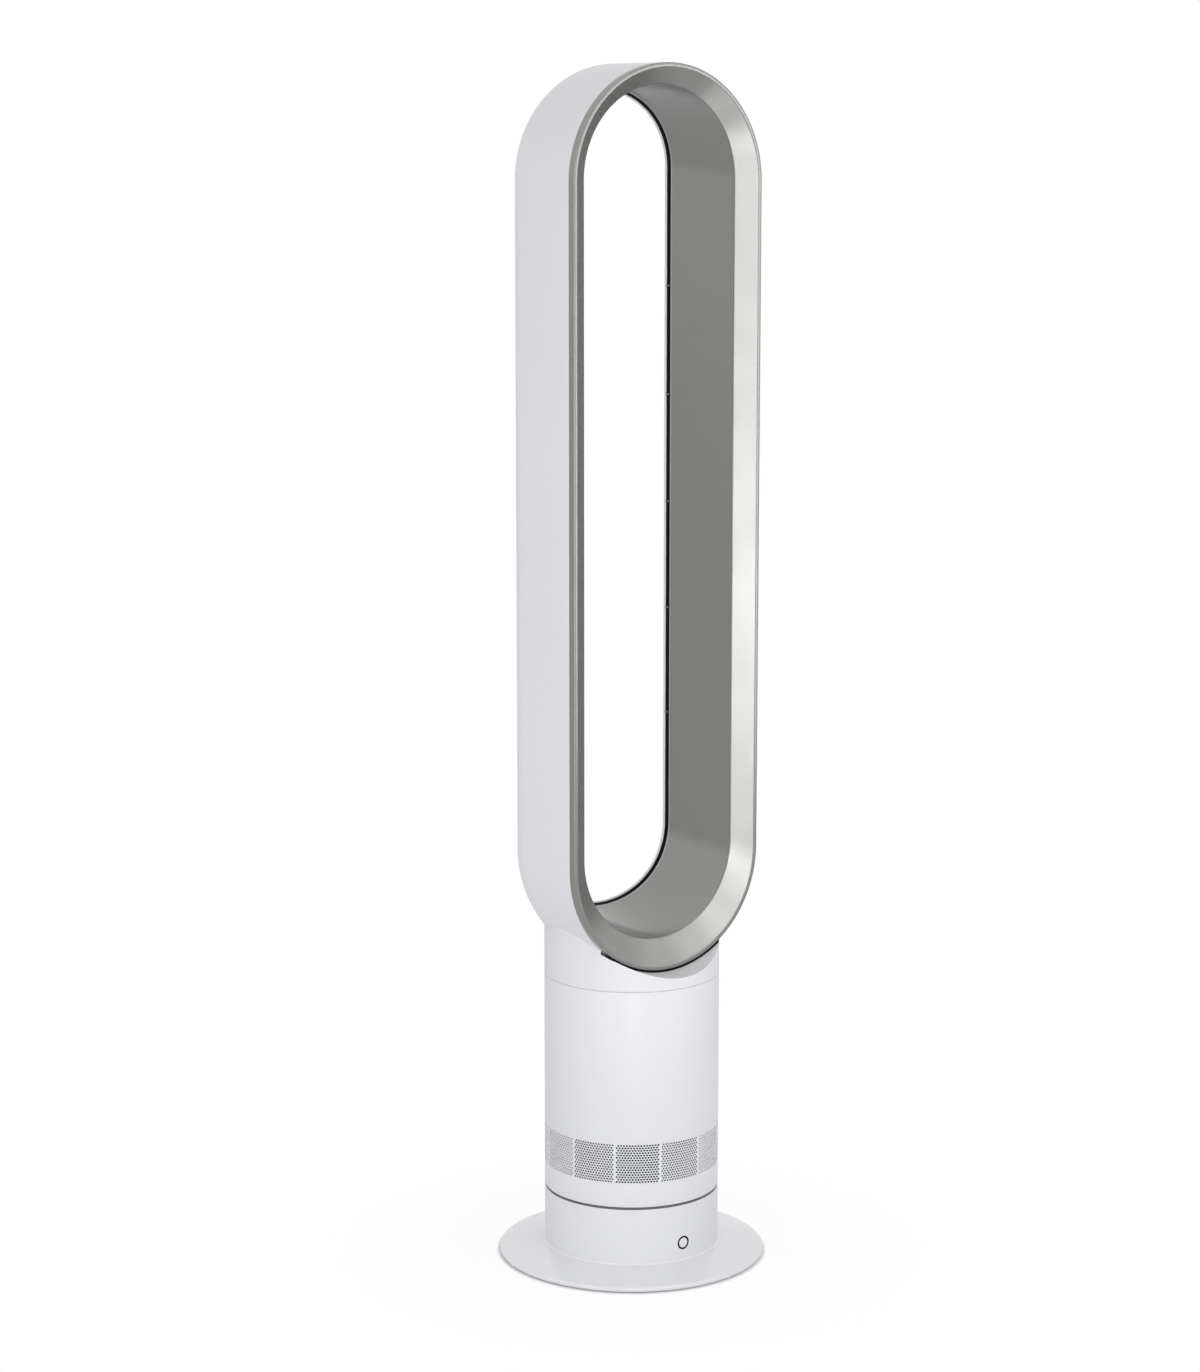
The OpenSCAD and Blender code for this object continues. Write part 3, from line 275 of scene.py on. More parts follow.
def gloss_white(name, colour, shade, rough, coat=0.0, shadow=None):
    """White ABS with a faint orange peel and a slow drift of tone. A shade mask paints its insides near
    black.
    """
    f = new_finish(name)
    drift, smear, peel = f.noise(6.0, detail=2.0), f.noise(40.0), f.noise(900.0, detail=2.0)
    tone = f.blend(drift, colour, shade)
    if shadow:
        # Painted shade: the masked faces turn near black
        tone = f.blend(shadow(f), tone, PAINTED_SHADE_BLACK)
    return f.surface(Base_Color=tone, Roughness=rough + 0.05 * smear, IOR=1.49,
                     Coat_Weight=coat, Coat_Roughness=0.08,
                     Normal=f.bump(peel, distance=0.00002, strength=0.3))


def shade_behind_wall(f):
    """What lies deeper than the skin of the body's wall, to be painted near black as shade."""
    x, y = f.split(f.place(), (0, 1))
    away = f.length(f.vector(x, y, 0.0))
    return away < (BODY_R - SKIN_T) * MM


def shade_marked_inside(f):
    """The faces that a mesh marks as its inside, to be painted near black as shade."""
    return f.node("ShaderNodeAttribute", {"attribute_name": "inside"}, out="Fac")


def shade_under_rim(f):
    """The neck's roof between the silver rim and the white shell, where no light falls: painted near black
    as shade.
    """
    x, y, z = f.split(f.place(), (0, 1, 2))
    away = f.length(f.vector(x, 0.0, z - LOW_C * MM))
    front, back = FRONT_Y + SHADE_FRONT, PARTING_Y + SHADE_BACK
    reach = LOOP_R + RIM_GAP + SHADE_OUT
    return (y > front * MM) * (y < back * MM) * (away < reach * MM)


def satin_silver(name, colour, shade, edge, metal, rough):
    """Silver paint: fine flakes under a satin lacquer, and a painted highlight that turns the duct's rear
    edge paler.
    """
    f = new_finish(name)
    flakes = f.node("ShaderNodeTexVoronoi", {"feature": "F1"},
                    {"Vector": f.place(), "Scale": 2200.0}, out="Color")
    grain = f.node("ShaderNodeSeparateColor", sockets=(flakes,))
    drift, smear, lacquer = f.noise(5.0, detail=2.0), f.noise(30.0), f.noise(1600.0, detail=1.0)
    tone = f.blend(0.5 * grain + 0.5 * drift, colour, shade)
    # Painted highlight: the last stretch before the duct's rear edge blends to the pale edge tone
    start, end = (DUCT_REAR_Y - HIGHLIGHT_PAINT_RUN) * MM, DUCT_REAR_Y * MM
    painted_highlight = f.ramp(f.split(f.place(), "Y"), start, end, 0.0, 1.0)
    tone = f.blend(painted_highlight, tone, edge)
    return f.surface(Base_Color=tone, Metallic=metal, Roughness=rough + 0.06 * smear,
                     Normal=f.bump(lacquer, distance=0.00001, strength=0.25))


def moulded(name, colour, shade, rough, depth=0.00004, shine=0.5):
    """Plain moulded plastic with a spark-eroded grain."""
    f = new_finish(name)
    drift, smear, grain = f.noise(18.0), f.noise(60.0), f.noise(600.0, detail=2.0)
    tone = f.blend(drift, colour, shade)
    return f.surface(Base_Color=tone, Roughness=rough + 0.1 * smear, Specular_IOR_Level=shine,
                     Normal=f.bump(grain, depth, strength=0.6))


def turned_steel(name, colour, rough):
    """Turned steel with fine rings of tool marks."""
    f = new_finish(name)
    marks = f.node("ShaderNodeTexWave", {"wave_type": "BANDS", "bands_direction": "Z"},
                   {"Vector": f.place(), "Scale": 900.0, "Distortion": 1.5})
    tone = f.blend(f.noise(70.0), colour, tuple(0.8 * c for c in colour))
    return f.surface(Base_Color=tone, Metallic=1.0, Roughness=rough + 0.12 * marks,
                     Normal=f.bump(marks, distance=0.00001, strength=0.3))


def cast_aluminium(name):
    """Cast aluminium with a sandy skin."""
    f = new_finish(name)
    drift, skin = f.noise(25.0), f.noise(500.0, detail=4.0)
    tone = f.blend(drift, (0.50, 0.51, 0.52), (0.42, 0.43, 0.44))
    return f.surface(Base_Color=tone, Metallic=0.9, Roughness=0.42 + 0.2 * skin,
                     Normal=f.bump(skin, distance=0.00008, strength=0.7))


def black_rubber(name):
    """Matt rubber with a dusty bloom."""
    f = new_finish(name)
    bloom, grain = f.noise(35.0, detail=4.0), f.noise(800.0)
    tone = f.blend(bloom, (0.018, 0.018, 0.02), (0.05, 0.05, 0.052))
    return f.surface(Base_Color=tone, Roughness=0.62 + 0.25 * bloom,
                     Normal=f.bump(grain, distance=0.00004, strength=0.6))


def open_foam(name):
    """Open-cell acoustic foam."""
    f = new_finish(name)
    cells = f.node("ShaderNodeTexVoronoi", {"feature": "DISTANCE_TO_EDGE"},
                   {"Vector": f.place(), "Scale": 700.0})
    tone = f.blend(cells * 3.0, (0.012, 0.012, 0.013), (0.06, 0.06, 0.065))
    return f.surface(Base_Color=tone, Roughness=0.95,
                     Normal=f.bump(cells, distance=0.0006, strength=1.0))


def circuit_green(name):
    """Solder mask over copper tracks."""
    f = new_finish(name)
    tracks = f.node("ShaderNodeTexBrick",
                    sockets={"Vector": f.place(), "Scale": 260.0, "Mortar Size": 0.04})
    mask = f.node("ShaderNodeSeparateColor", sockets=(tracks,))
    tone = f.blend(mask, (0.012, 0.10, 0.045), (0.03, 0.19, 0.08))
    return f.surface(Base_Color=tone, Roughness=0.3 + 0.15 * mask,
                     Normal=f.bump(mask, distance=0.00003, strength=0.5))


WHITE_TONES = (0.77, 0.775, 0.80), (0.74, 0.745, 0.77)
# These white finishes paint shade near black: behind the wall's skin, on the loop's marked inside and on the
# neck's roof under the rim
WHITE = gloss_white("white_gloss_abs", *WHITE_TONES, 0.30, shadow=shade_behind_wall)
SHELL_WHITE = gloss_white("white_loop_shell", *WHITE_TONES, 0.34, shadow=shade_marked_inside)
NECK_WHITE = gloss_white("white_neck_abs", *WHITE_TONES, 0.32, shadow=shade_under_rim)
PLATE_WHITE = gloss_white("white_plate_gloss", *WHITE_TONES, 0.14, coat=0.4)
# The edge tone is the painted highlight on the duct's rear edge
SILVER = satin_silver("satin_silver_paint", (0.292, 0.290, 0.281), (0.262, 0.260, 0.252),
                      edge=(0.55, 0.55, 0.54), metal=0.58, rough=0.21)
DARK = moulded("dark_satin_plastic", (0.030, 0.030, 0.033), (0.050, 0.050, 0.054), 0.38)
# Swivel ring: dark plastic drawn a lighter grey, partly a painted sheen in place of the lamp's highlight on
# it
SWIVEL_DARK_AND_SHEEN = moulded("swivel_ring_plastic_and_painted_sheen", (0.13, 0.13, 0.132), (0.15, 0.15, 0.152), 0.4,
                      depth=0.00001, shine=0.05)
RING_BLACK = moulded("button_ring_black", (0.003, 0.003, 0.003), (0.006, 0.006, 0.006), 0.6,
                     depth=0.00001, shine=0.1)
# The slot spacers' grey is painted shade, for the dark slot they stand in
SPACER_PAINTED_SHADE = moulded("painted_shade_spacer_plastic", (0.14, 0.14, 0.14), (0.18, 0.18, 0.18), 0.5)
GREY = moulded("grey_moulded_plastic", (0.20, 0.21, 0.22), (0.25, 0.26, 0.27), 0.5)
CREAM = moulded("natural_acetal", (0.70, 0.67, 0.60), (0.62, 0.60, 0.54), 0.4)
STEEL = turned_steel("turned_steel", (0.60, 0.61, 0.63), 0.28)
CAST = cast_aluminium("cast_alloy")
RUBBER = black_rubber("black_rubber")
FOAM = open_foam("acoustic_foam")
BOARD = circuit_green("circuit_board")

SLOT_FINISH = {
    "gloss_white": WHITE, "satin_silver": SILVER, "dark_plastic": DARK, "grey_plastic": GREY,
    "cream_plastic": CREAM, "steel": STEEL, "cast_aluminium": CAST, "rubber": RUBBER,
    "circuit_board": BOARD, "foam": FOAM,
}
NODE_FINISH = {"turntable": SWIVEL_DARK_AND_SHEEN, "slot_spacers": SPACER_PAINTED_SHADE}


def mesh_of(name, verts, faces):
    """A mesh from points in millimetres, with its faces turned outwards."""
    mesh = bpy.data.meshes.new(name)
    mesh.from_pydata([(x * MM, y * MM, z * MM) for x, y, z in verts], [], faces)
    bm = bmesh.new()
    bm.from_mesh(mesh)
    bmesh.ops.recalc_face_normals(bm, faces=bm.faces)
    bm.to_mesh(mesh)
    bm.free()
    return mesh


def add_piece(name, mesh, finish, body, replaces=(), sharp=32.0):
    """A finished piece that rides on a body and may stand in for nodes of the frame."""
    mesh.materials.clear()
    mesh.materials.append(finish)
    mesh.polygons.foreach_set("use_smooth", [True] * len(mesh.polygons))
    mesh.set_sharp_from_angle(angle=math.radians(sharp))
    piece = bpy.data.objects.new(name, mesh)
    bpy.context.scene.collection.objects.link(piece)
    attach(piece, body)
    if replaces:
        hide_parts(*replaces)


def arc(mid_r, mid_z, radius, start, end, steps):
    """Points of an arc in a profile, angles in degrees."""
    angles = [math.radians(start + (end - start) * i / steps) for i in range(steps + 1)]
    return [(mid_r + radius * math.cos(a), mid_z + radius * math.sin(a)) for a in angles]


def rounded(profile, steps=4):
    """A closed profile whose corners (r, z, radius) are rounded."""
    made = []
    for i, (r, z, radius) in enumerate(profile):
        if radius <= 0:
            made.append((r, z))
            continue
        here = Vector((r, z))
        before = Vector(profile[i - 1][:2]) - here
        after = Vector(profile[(i + 1) % len(profile)][:2]) - here
        half = before.angle(after) / 2
        run = radius / math.tan(half)
        mid = here + (before.normalized() + after.normalized()).normalized() * (radius / math.sin(half))
        a0 = math.atan2(*(here + before.normalized() * run - mid).yx)
        a1 = math.atan2(*(here + after.normalized() * run - mid).yx)
        turn = (a1 - a0 + math.pi) % (2 * math.pi) - math.pi
        made += arc(mid.x, mid.y, radius, math.degrees(a0), math.degrees(a0 + turn), steps)
    return made


def strip(first, second, n):
    """Faces between two closed rings of n points."""
    return [(first * n + i, first * n + (i + 1) % n, second * n + (i + 1) % n, second * n + i)
            for i in range(n)]


def closed_strips(rings):
    """Points and faces of closed rings joined one to the next and the last to the first."""
    n, m = len(rings[0]), len(rings)
    verts = [point for ring in rings for point in ring]
    return verts, [face for j in range(m) for face in strip(j, (j + 1) % m, n)]


def spun(profile, steps=256, start=0.0):
    """Points and faces of a closed profile turned about the z axis from a start angle."""
    angles = [start + 2 * math.pi * i / steps for i in range(steps)]
    return closed_strips([[(r * math.cos(a), r * math.sin(a), z) for r, z in profile] for a in angles])


def stadium(radius, y, rise_top=0.0, rise_low=0.0, flat_top=0.0, flat_low=0.0):
    """A closed outline round the loop at one point of its section, with its arcs raised and flattened."""
    arc_steps, limb_steps = 72, 10
    top, low = TOP_C + rise_top, LOW_C + rise_low
    half = [math.pi * i / arc_steps for i in range(arc_steps + 1)]
    limb = [low + (top - low) * i / limb_steps for i in range(1, limb_steps)]
    made = [(radius * math.cos(a), y, top + (radius - flat_top * math.sin(a)) * math.sin(a)) for a in half]
    made += [(-radius, y, z) for z in reversed(limb)]
    made += [(-radius * math.cos(a), y, low - (radius - flat_low * math.sin(a)) * math.sin(a))
             for a in half]
    return made + [(radius, y, z) for z in limb]


def swept(section):
    """Points and faces of a closed section run round the loop, its rows of faces in the section's order."""
    return closed_strips([stadium(*point) for point in section])


def rises_at(y):
    """How far the two arcs are raised and flattened at a depth along the duct."""
    if y <= BEVEL_Y:
        share = max(0.0, (y - FRONT_Y) / BEVEL_D)
        return tuple(share * value for value in AT_BEVEL)
    share = min(1.0, (y - BEVEL_Y) / (DUCT_LEN - 2 * SLOT_W))
    return tuple(near + (far - near) * share for near, far in zip(AT_BEVEL, AT_SLOT))


def nose_flat(into):
    """How far the rounded back flattens the lower arc at a share of its depth."""
    return SLOT_FLAT * into + NOSE_FLAT * 2 * into * math.sqrt(1 - into ** 2)


def build_outer_loop():
    """White outer shell: flat outside, rounded back and the lip of the slot. Its inside faces are marked for
    painted shade, near black.
    """
    nose_steps = 20
    edge = 0.25
    lip_round = 0.6
    lip_lit = 1.1
    flat_front, flat_back = PARTING_Y + 8, NOSE_Y - 6
    outer = [(LOOP_R - edge, PARTING_Y), (LOOP_R, PARTING_Y + edge)]
    outer += [(LOOP_R, y) for y in (flat_front, -20.0, 0.0, flat_back)]
    inner = [(LOOP_R - SHELL_WALL, y) for y in (PARTING_Y, 0.0, flat_back)]
    for i in range(nose_steps + 1):
        # The upper arc rises late, so that the loop keeps its full height, and the lower one early
        share = i / nose_steps
        turn = math.radians(90 * share)
        late, early = share ** 3, math.sin(turn)
        rise = late * SLOT_RISE_TOP, early * SLOT_RISE, late * SLOT_FLAT_TOP, nose_flat(early)
        for line, radius in ((outer, NOSE_R), (inner, NOSE_R - SHELL_WALL)):
            line.append((NOSE_IN_R + radius * math.cos(turn), NOSE_Y + radius * math.sin(turn), *rise))
    lip = []
    for angle in (90, 60, 30, 0, -30, -60, -90):
        turn = math.radians(angle)
        radius = LIP_R + lip_round * (1 - math.cos(turn))
        lip.append((radius, LOOP_BACK - SHELL_WALL / 2 + SHELL_WALL / 2 * math.sin(turn), *AT_SLOT))
    lip.append((LIP_R + lip_lit, LIP_FACE_Y, *AT_SLOT))
    section = outer + lip + inner[::-1]
    verts, faces = swept(section)
    mesh = mesh_of("white_outer_shell", verts, faces)
    lit_rows = len(outer) + len(lip) - 1
    per_row = len(faces) // len(section)
    # Faces past the lit rows are marked as inside, where the finish paints shade near black
    mark = mesh.attributes.new("inside", "FLOAT", "FACE")
    mark.data.foreach_set("value", [float(i // per_row >= lit_rows) for i in range(len(faces))])
    add_piece("white_outer_shell", mesh, SHELL_WHITE, "upper_body", ("outer_loop",), sharp=40)


def build_inner_duct():
    """Silver duct: return, crowned rim, bevel and the tapered inside that ends at the slot."""
    outer_round, inner_round, round_steps = 0.9, 0.25, 6
    return_soft, return_front, crown_drop = 0.2, 3, 0.02
    rim_back, edge_thin = 2.4, 0.4
    bevel_shares, back_shares = (0.012, 0.03, 0.2, 0.4, 0.6, 0.8, 0.955, 0.985), (0.05, 0.5, 0.93)
    duct_runs, back_runs = (0.35, 0.9, 6, 14, 24, 34, 44, 54, 64, 72), (3, 40)
    reach, end = DUCT_LEN - 2 * SLOT_W, DUCT_LEN - SLOT_SHOWN
    curl = ((reach, 0.0), (reach + 1.2, -0.15), (end - 0.8, -0.3), (end - 0.3, -0.3), (end, 0.1))
    slope = DUCT_TAPER / DUCT_LEN
    length = math.hypot(BEVEL_W, BEVEL_D)

    def on_bevel(share, depth=0.0):
        y = FRONT_Y + BEVEL_D * share
        radius = RIM_IN_R - BEVEL_W * share + depth * BEVEL_D / length
        return (radius, y + depth * BEVEL_W / length, *rises_at(y))

    def on_duct(run, depth=0.0):
        return (DUCT_FRONT_R - slope * run + depth, BEVEL_Y + run, *rises_at(BEVEL_Y + run))

    face = [(LOOP_R - return_soft, PARTING_Y), (LOOP_R, PARTING_Y - return_soft)]
    face.append((LOOP_R, FRONT_Y + return_front))
    for k in range(round_steps + 1):
        turn = math.pi / 2 * k / round_steps
        radius = LOOP_R - outer_round + outer_round * math.cos(turn)
        face.append((radius, FRONT_Y + outer_round - outer_round * math.sin(turn)))
    face += [(RIM_IN_R + 2 * inner_round, FRONT_Y), (RIM_IN_R + inner_round, FRONT_Y + crown_drop)]
    face += [on_bevel(share) for share in bevel_shares]
    face += [on_duct(run) for run in (*duct_runs, reach - 1.5)]
    face += [on_duct(run, depth) for run, depth in curl]
    back = [(LOOP_R - SHELL_WALL, PARTING_Y), (LOOP_R - SHELL_WALL, FRONT_Y + rim_back)]
    back += [on_bevel(share, DUCT_WALL) for share in back_shares]
    back += [on_duct(run, DUCT_WALL) for run in (*back_runs, reach)]
    back.append(on_duct(end, DUCT_WALL - edge_thin))
    mesh = mesh_of("silver_inner_duct", *swept(face + back[::-1]))
    add_piece("silver_inner_duct", mesh, SILVER, "upper_body", ("inner_duct",), sharp=30)


def roof_z(x, y):
    """Height of the neck's roof, which follows the loop and its rounded back up to the roof's rear level."""
    if y < PARTING_Y:
        return LOW_C - math.sqrt((LOOP_R + RIM_GAP) ** 2 - x ** 2)
    into = (min(ROOF_LEVEL_Y, max(y, NOSE_Y)) - NOSE_Y) / NOSE_R
    radius = NOSE_IN_R + NOSE_R * math.sqrt(1 - into ** 2)
    rise = SLOT_RISE * into + nose_flat(into) * (1 - (x / radius) ** 2)
    return LOW_C + rise - math.sqrt(radius ** 2 - x ** 2)


def build_neck():
    """Neck: the body's wall run up to the loop, with a roof that follows the loop."""
    steps, wall_rings, roof_rings, ceiling_rings = 384, 6, 30, 12
    edge = 0.6
    slight, some, half = 0.1, 0.4, 0.5
    crowding = 1.3
    span = BODY_R - edge - MOUTH_R
    low = SEAM_Z + SEAM_OPEN + SEAM_SOFT

    def column(turn):
        out_x, out_y = math.sin(turn), -math.cos(turn)

        def roof(r):
            y = r * out_y
            return roof_z(r * out_x, y) + (ROOF_BURIED if PARTING_Y < y < ROOF_LEVEL_Y else 0)

        high = roof(BODY_R) - edge
        line = [(INNER_R, SEAM_Z), (BODY_R - SEAM_DEEP, SEAM_Z), (BODY_R - SEAM_DEEP, SEAM_Z + SEAM_OPEN)]
        line += arc(BODY_R - SEAM_SOFT, low, SEAM_SOFT, -90, 0, 4)
        line += [(BODY_R, low + (high - low) * k / wall_rings) for k in range(1, wall_rings + 1)]
        line.append((BODY_R - slight * edge, high + half * edge))
        line.append((BODY_R - some * edge, roof(BODY_R - some * edge) - slight * edge))
        for k in range(roof_rings + 1):
            r = BODY_R - edge - span * (k / roof_rings) ** crowding
            line.append((r, roof(r)))
        for k in range(ceiling_rings + 1):
            r = MOUTH_R + (INNER_R - MOUTH_R) * k / ceiling_rings
            line.append((r, roof(r) - WALL))
        return [(r * out_x, r * out_y, z) for r, z in line]

    columns = [column(2 * math.pi * i / steps) for i in range(steps)]
    mesh = mesh_of("white_neck", *closed_strips(columns))
    add_piece("white_neck", mesh, NECK_WHITE, "upper_body", ("neck",), sharp=35)


def build_lower_collar():
    """White ring between the swivel gap and the band."""
    low = GAP_TOP - GAP_CLOSED
    profile = rounded([(INNER_R, low, 0), (BODY_R, low, EDGE_SOFT),
                       (BODY_R, INTAKE_LOW, BAND_SOFT), (INNER_R, INTAKE_LOW, 0)])
    mesh = mesh_of("white_lower_collar", *spun(profile))
    add_piece("white_lower_collar", mesh, WHITE, "upper_body", ("lower_collar",), sharp=40)


def build_body_shell():
    """Tall white shell with the ledge that carries the fan."""
    ledge_in, ledge_top = INNER_R - LEDGE_W, LEDGE_Z + LEDGE_T
    groove_r, groove_z = BODY_R - SEAM_DEEP, SEAM_Z - SEAM_OPEN
    profile = rounded([
        (INNER_R, INTAKE_TOP, 0), (BODY_R, INTAKE_TOP, BAND_SOFT), (BODY_R, groove_z, SEAM_SOFT),
        (groove_r, groove_z, 0), (groove_r, SEAM_Z, 0), (INNER_R, SEAM_Z, 0),
        (INNER_R, ledge_top, 0), (ledge_in, ledge_top, EDGE_SOFT),
        (ledge_in, LEDGE_Z, EDGE_SOFT), (INNER_R, LEDGE_Z, 0)])
    mesh = mesh_of("white_body_shell", *spun(profile))
    add_piece("white_body_shell", mesh, WHITE, "upper_body", ("body_shell",), sharp=40)


def build_foot_plate():
    """Foot plate: rounded edge, shallow cone and the fillet up to the column."""
    edge_r = EDGE_H / 2
    rim = PLATE_R - edge_r
    fillet_r = BODY_R + FOOT_FILLET
    fall = PLATE_TOP - PLATE_LOW - EDGE_H
    seat_z = COLLAR_TOP - SEAT_T
    cover_edge = COVER_R + COVER_SLIP
    skin_low = PLATE_LOW + EDGE_H + fall * (rim - cover_edge) / (rim - fillet_r) - PLATE_SKIN
    profile = [(SEAT_IN_R, seat_z), (SEAT_IN_R, COLLAR_TOP), (BODY_R, COLLAR_TOP)]
    profile += arc(fillet_r, PLATE_TOP + FOOT_FILLET, FOOT_FILLET, 180, 270, 8)
    profile += [(fillet_r + (rim - fillet_r) * share, PLATE_TOP - fall * share)
                for share in (0.12, 0.3, 0.5, 0.7, 0.88)]
    profile += arc(rim, PLATE_LOW + edge_r, edge_r, 78, -90, 16)
    profile += [(cover_edge, PLATE_LOW), (cover_edge, skin_low)]
    profile += [(fillet_r, PLATE_TOP - PLATE_SKIN), (BODY_R, seat_z)]
    mesh = mesh_of("white_foot_plate", *spun(profile, 320))
    add_piece("white_foot_plate", mesh, PLATE_WHITE, "base", ("foot_plate",), sharp=38)


def hidden_object(name, mesh):
    """An object that helps to make a piece and is removed afterwards."""
    helper = bpy.data.objects.new(name, mesh)
    bpy.context.scene.collection.objects.link(helper)
    return helper


def cutting_bar(radius, start, end, steps=64):
    """A plain bar between two points, for cutting a hole."""
    start, end = Vector(start) * MM, Vector(end) * MM
    along = end - start
    bm = bmesh.new()
    bmesh.ops.create_cone(bm, cap_ends=True, segments=steps, depth=along.length,
                          radius1=radius * MM, radius2=radius * MM)
    place = Matrix.Translation((start + end) / 2) @ along.to_track_quat("Z", "Y").to_matrix().to_4x4()
    bmesh.ops.transform(bm, matrix=place, verts=bm.verts)
    mesh = bpy.data.meshes.new("cutting_bar")
    bm.to_mesh(mesh)
    bm.free()
    return hidden_object("cutting_bar", mesh)


def radial_normals(mesh, radius):
    """Exact normals on a wall about the z axis, so that a hole doesn't dent its gloss."""
    on_wall, upright, facing = 0.03 * MM, 0.999, 0.99
    normals = [Vector(corner.vector) for corner in mesh.corner_normals]
    for polygon in mesh.polygons:
        flat = Vector((polygon.normal.x, polygon.normal.y, 0))
        if flat.length < upright:
            continue
        for loop in polygon.loop_indices:
            place = mesh.vertices[mesh.loops[loop].vertex_index].co
            out = Vector((place.x, place.y, 0))
            if abs(out.length - radius * MM) < on_wall and out.normalized().dot(flat) > facing:
                normals[loop] = out.normalized()
    mesh.normals_split_custom_set([tuple(normal) for normal in normals])


def build_base_column():
    """Base column with the holes of the power button and of the rear grommet."""
    top = BASE_TOP + GAP_CLOSED
    overrun = 10.0
    bar_in, bar_out = INNER_R - overrun, BODY_R + overrun
    profile = rounded([(INNER_R, COLLAR_TOP, 0), (BODY_R, COLLAR_TOP, 0),
                       (BODY_R, top, EDGE_SOFT), (INNER_R, top, 0)])
    blank = hidden_object("column_blank", mesh_of("column_blank", *spun(profile)))
    bars = [cutting_bar(BUTTON_HOLE_R, (0, -bar_in, BUTTON_Z), (0, -bar_out, BUTTON_Z)),
            cutting_bar(GROMMET_HOLE_R, (0, bar_in, GROMMET_Z), (0, bar_out, GROMMET_Z))]
    for bar in bars:
        cut = blank.modifiers.new("cut", "BOOLEAN")
        cut.operation = "DIFFERENCE"
        cut.solver = "EXACT"
        cut.object = bar
    graph = bpy.context.evaluated_depsgraph_get()
    mesh = bpy.data.meshes.new_from_object(blank.evaluated_get(graph))
    for helper in bars + [blank]:
        bpy.data.objects.remove(helper)
    add_piece("white_base_column", mesh, WHITE, "base", ("base_column",), sharp=35)
    radial_normals(mesh, BODY_R)


def build_button_ring():
    """Black ring round the power button, flush with the column."""
    steps = 96
    rings = []
    for radius, back in ((RING_R, 0), (RING_R, RING_T), (RING_IN_R, RING_T), (RING_IN_R, 0)):
        ring = []
        for i in range(steps):
            turn = 2 * math.pi * i / steps
            x, z = radius * math.cos(turn), BUTTON_Z + radius * math.sin(turn)
            ring.append((x, back - math.sqrt(BODY_R ** 2 - x ** 2), z))
        rings.append(ring)
    mesh = mesh_of("black_button_ring", *closed_strips(rings))
    add_piece("black_button_ring", mesh, RING_BLACK, "base", ("button_ring",))


def brick(name, pitch, row, hole_r):
    """One brick of the flat sheet, x along the band and y into it, with or without its hole."""
    corners = ((1, 0), (1, 1), (0, 1), (-1, 1), (-1, 0), (-1, -1), (0, -1), (1, -1))
    edge = [(pitch / 2 * i, row / 2 * k) for i, k in corners]
    n = len(edge)
    rings = [[(x, 0, z) for x, z in edge], [(x, SHEET_T, z) for x, z in edge]]
    if hole_r:
        turns = [math.atan2(z, x) for x, z in edge]
        hole = [(hole_r * math.cos(a), hole_r * math.sin(a)) for a in turns]
        rings += [[(x, 0, z) for x, z in hole], [(x, SHEET_T, z) for x, z in hole]]
        faces = strip(0, 2, n) + strip(2, 3, n) + strip(3, 1, n)
    else:
        faces = [tuple(range(n)), tuple(range(2 * n - 1, n - 1, -1))]
    mesh = bpy.data.meshes.new(name)
    mesh.from_pydata([tuple(c * MM for c in point) for ring in rings for point in ring], [], faces)
    return hidden_object(name, mesh)


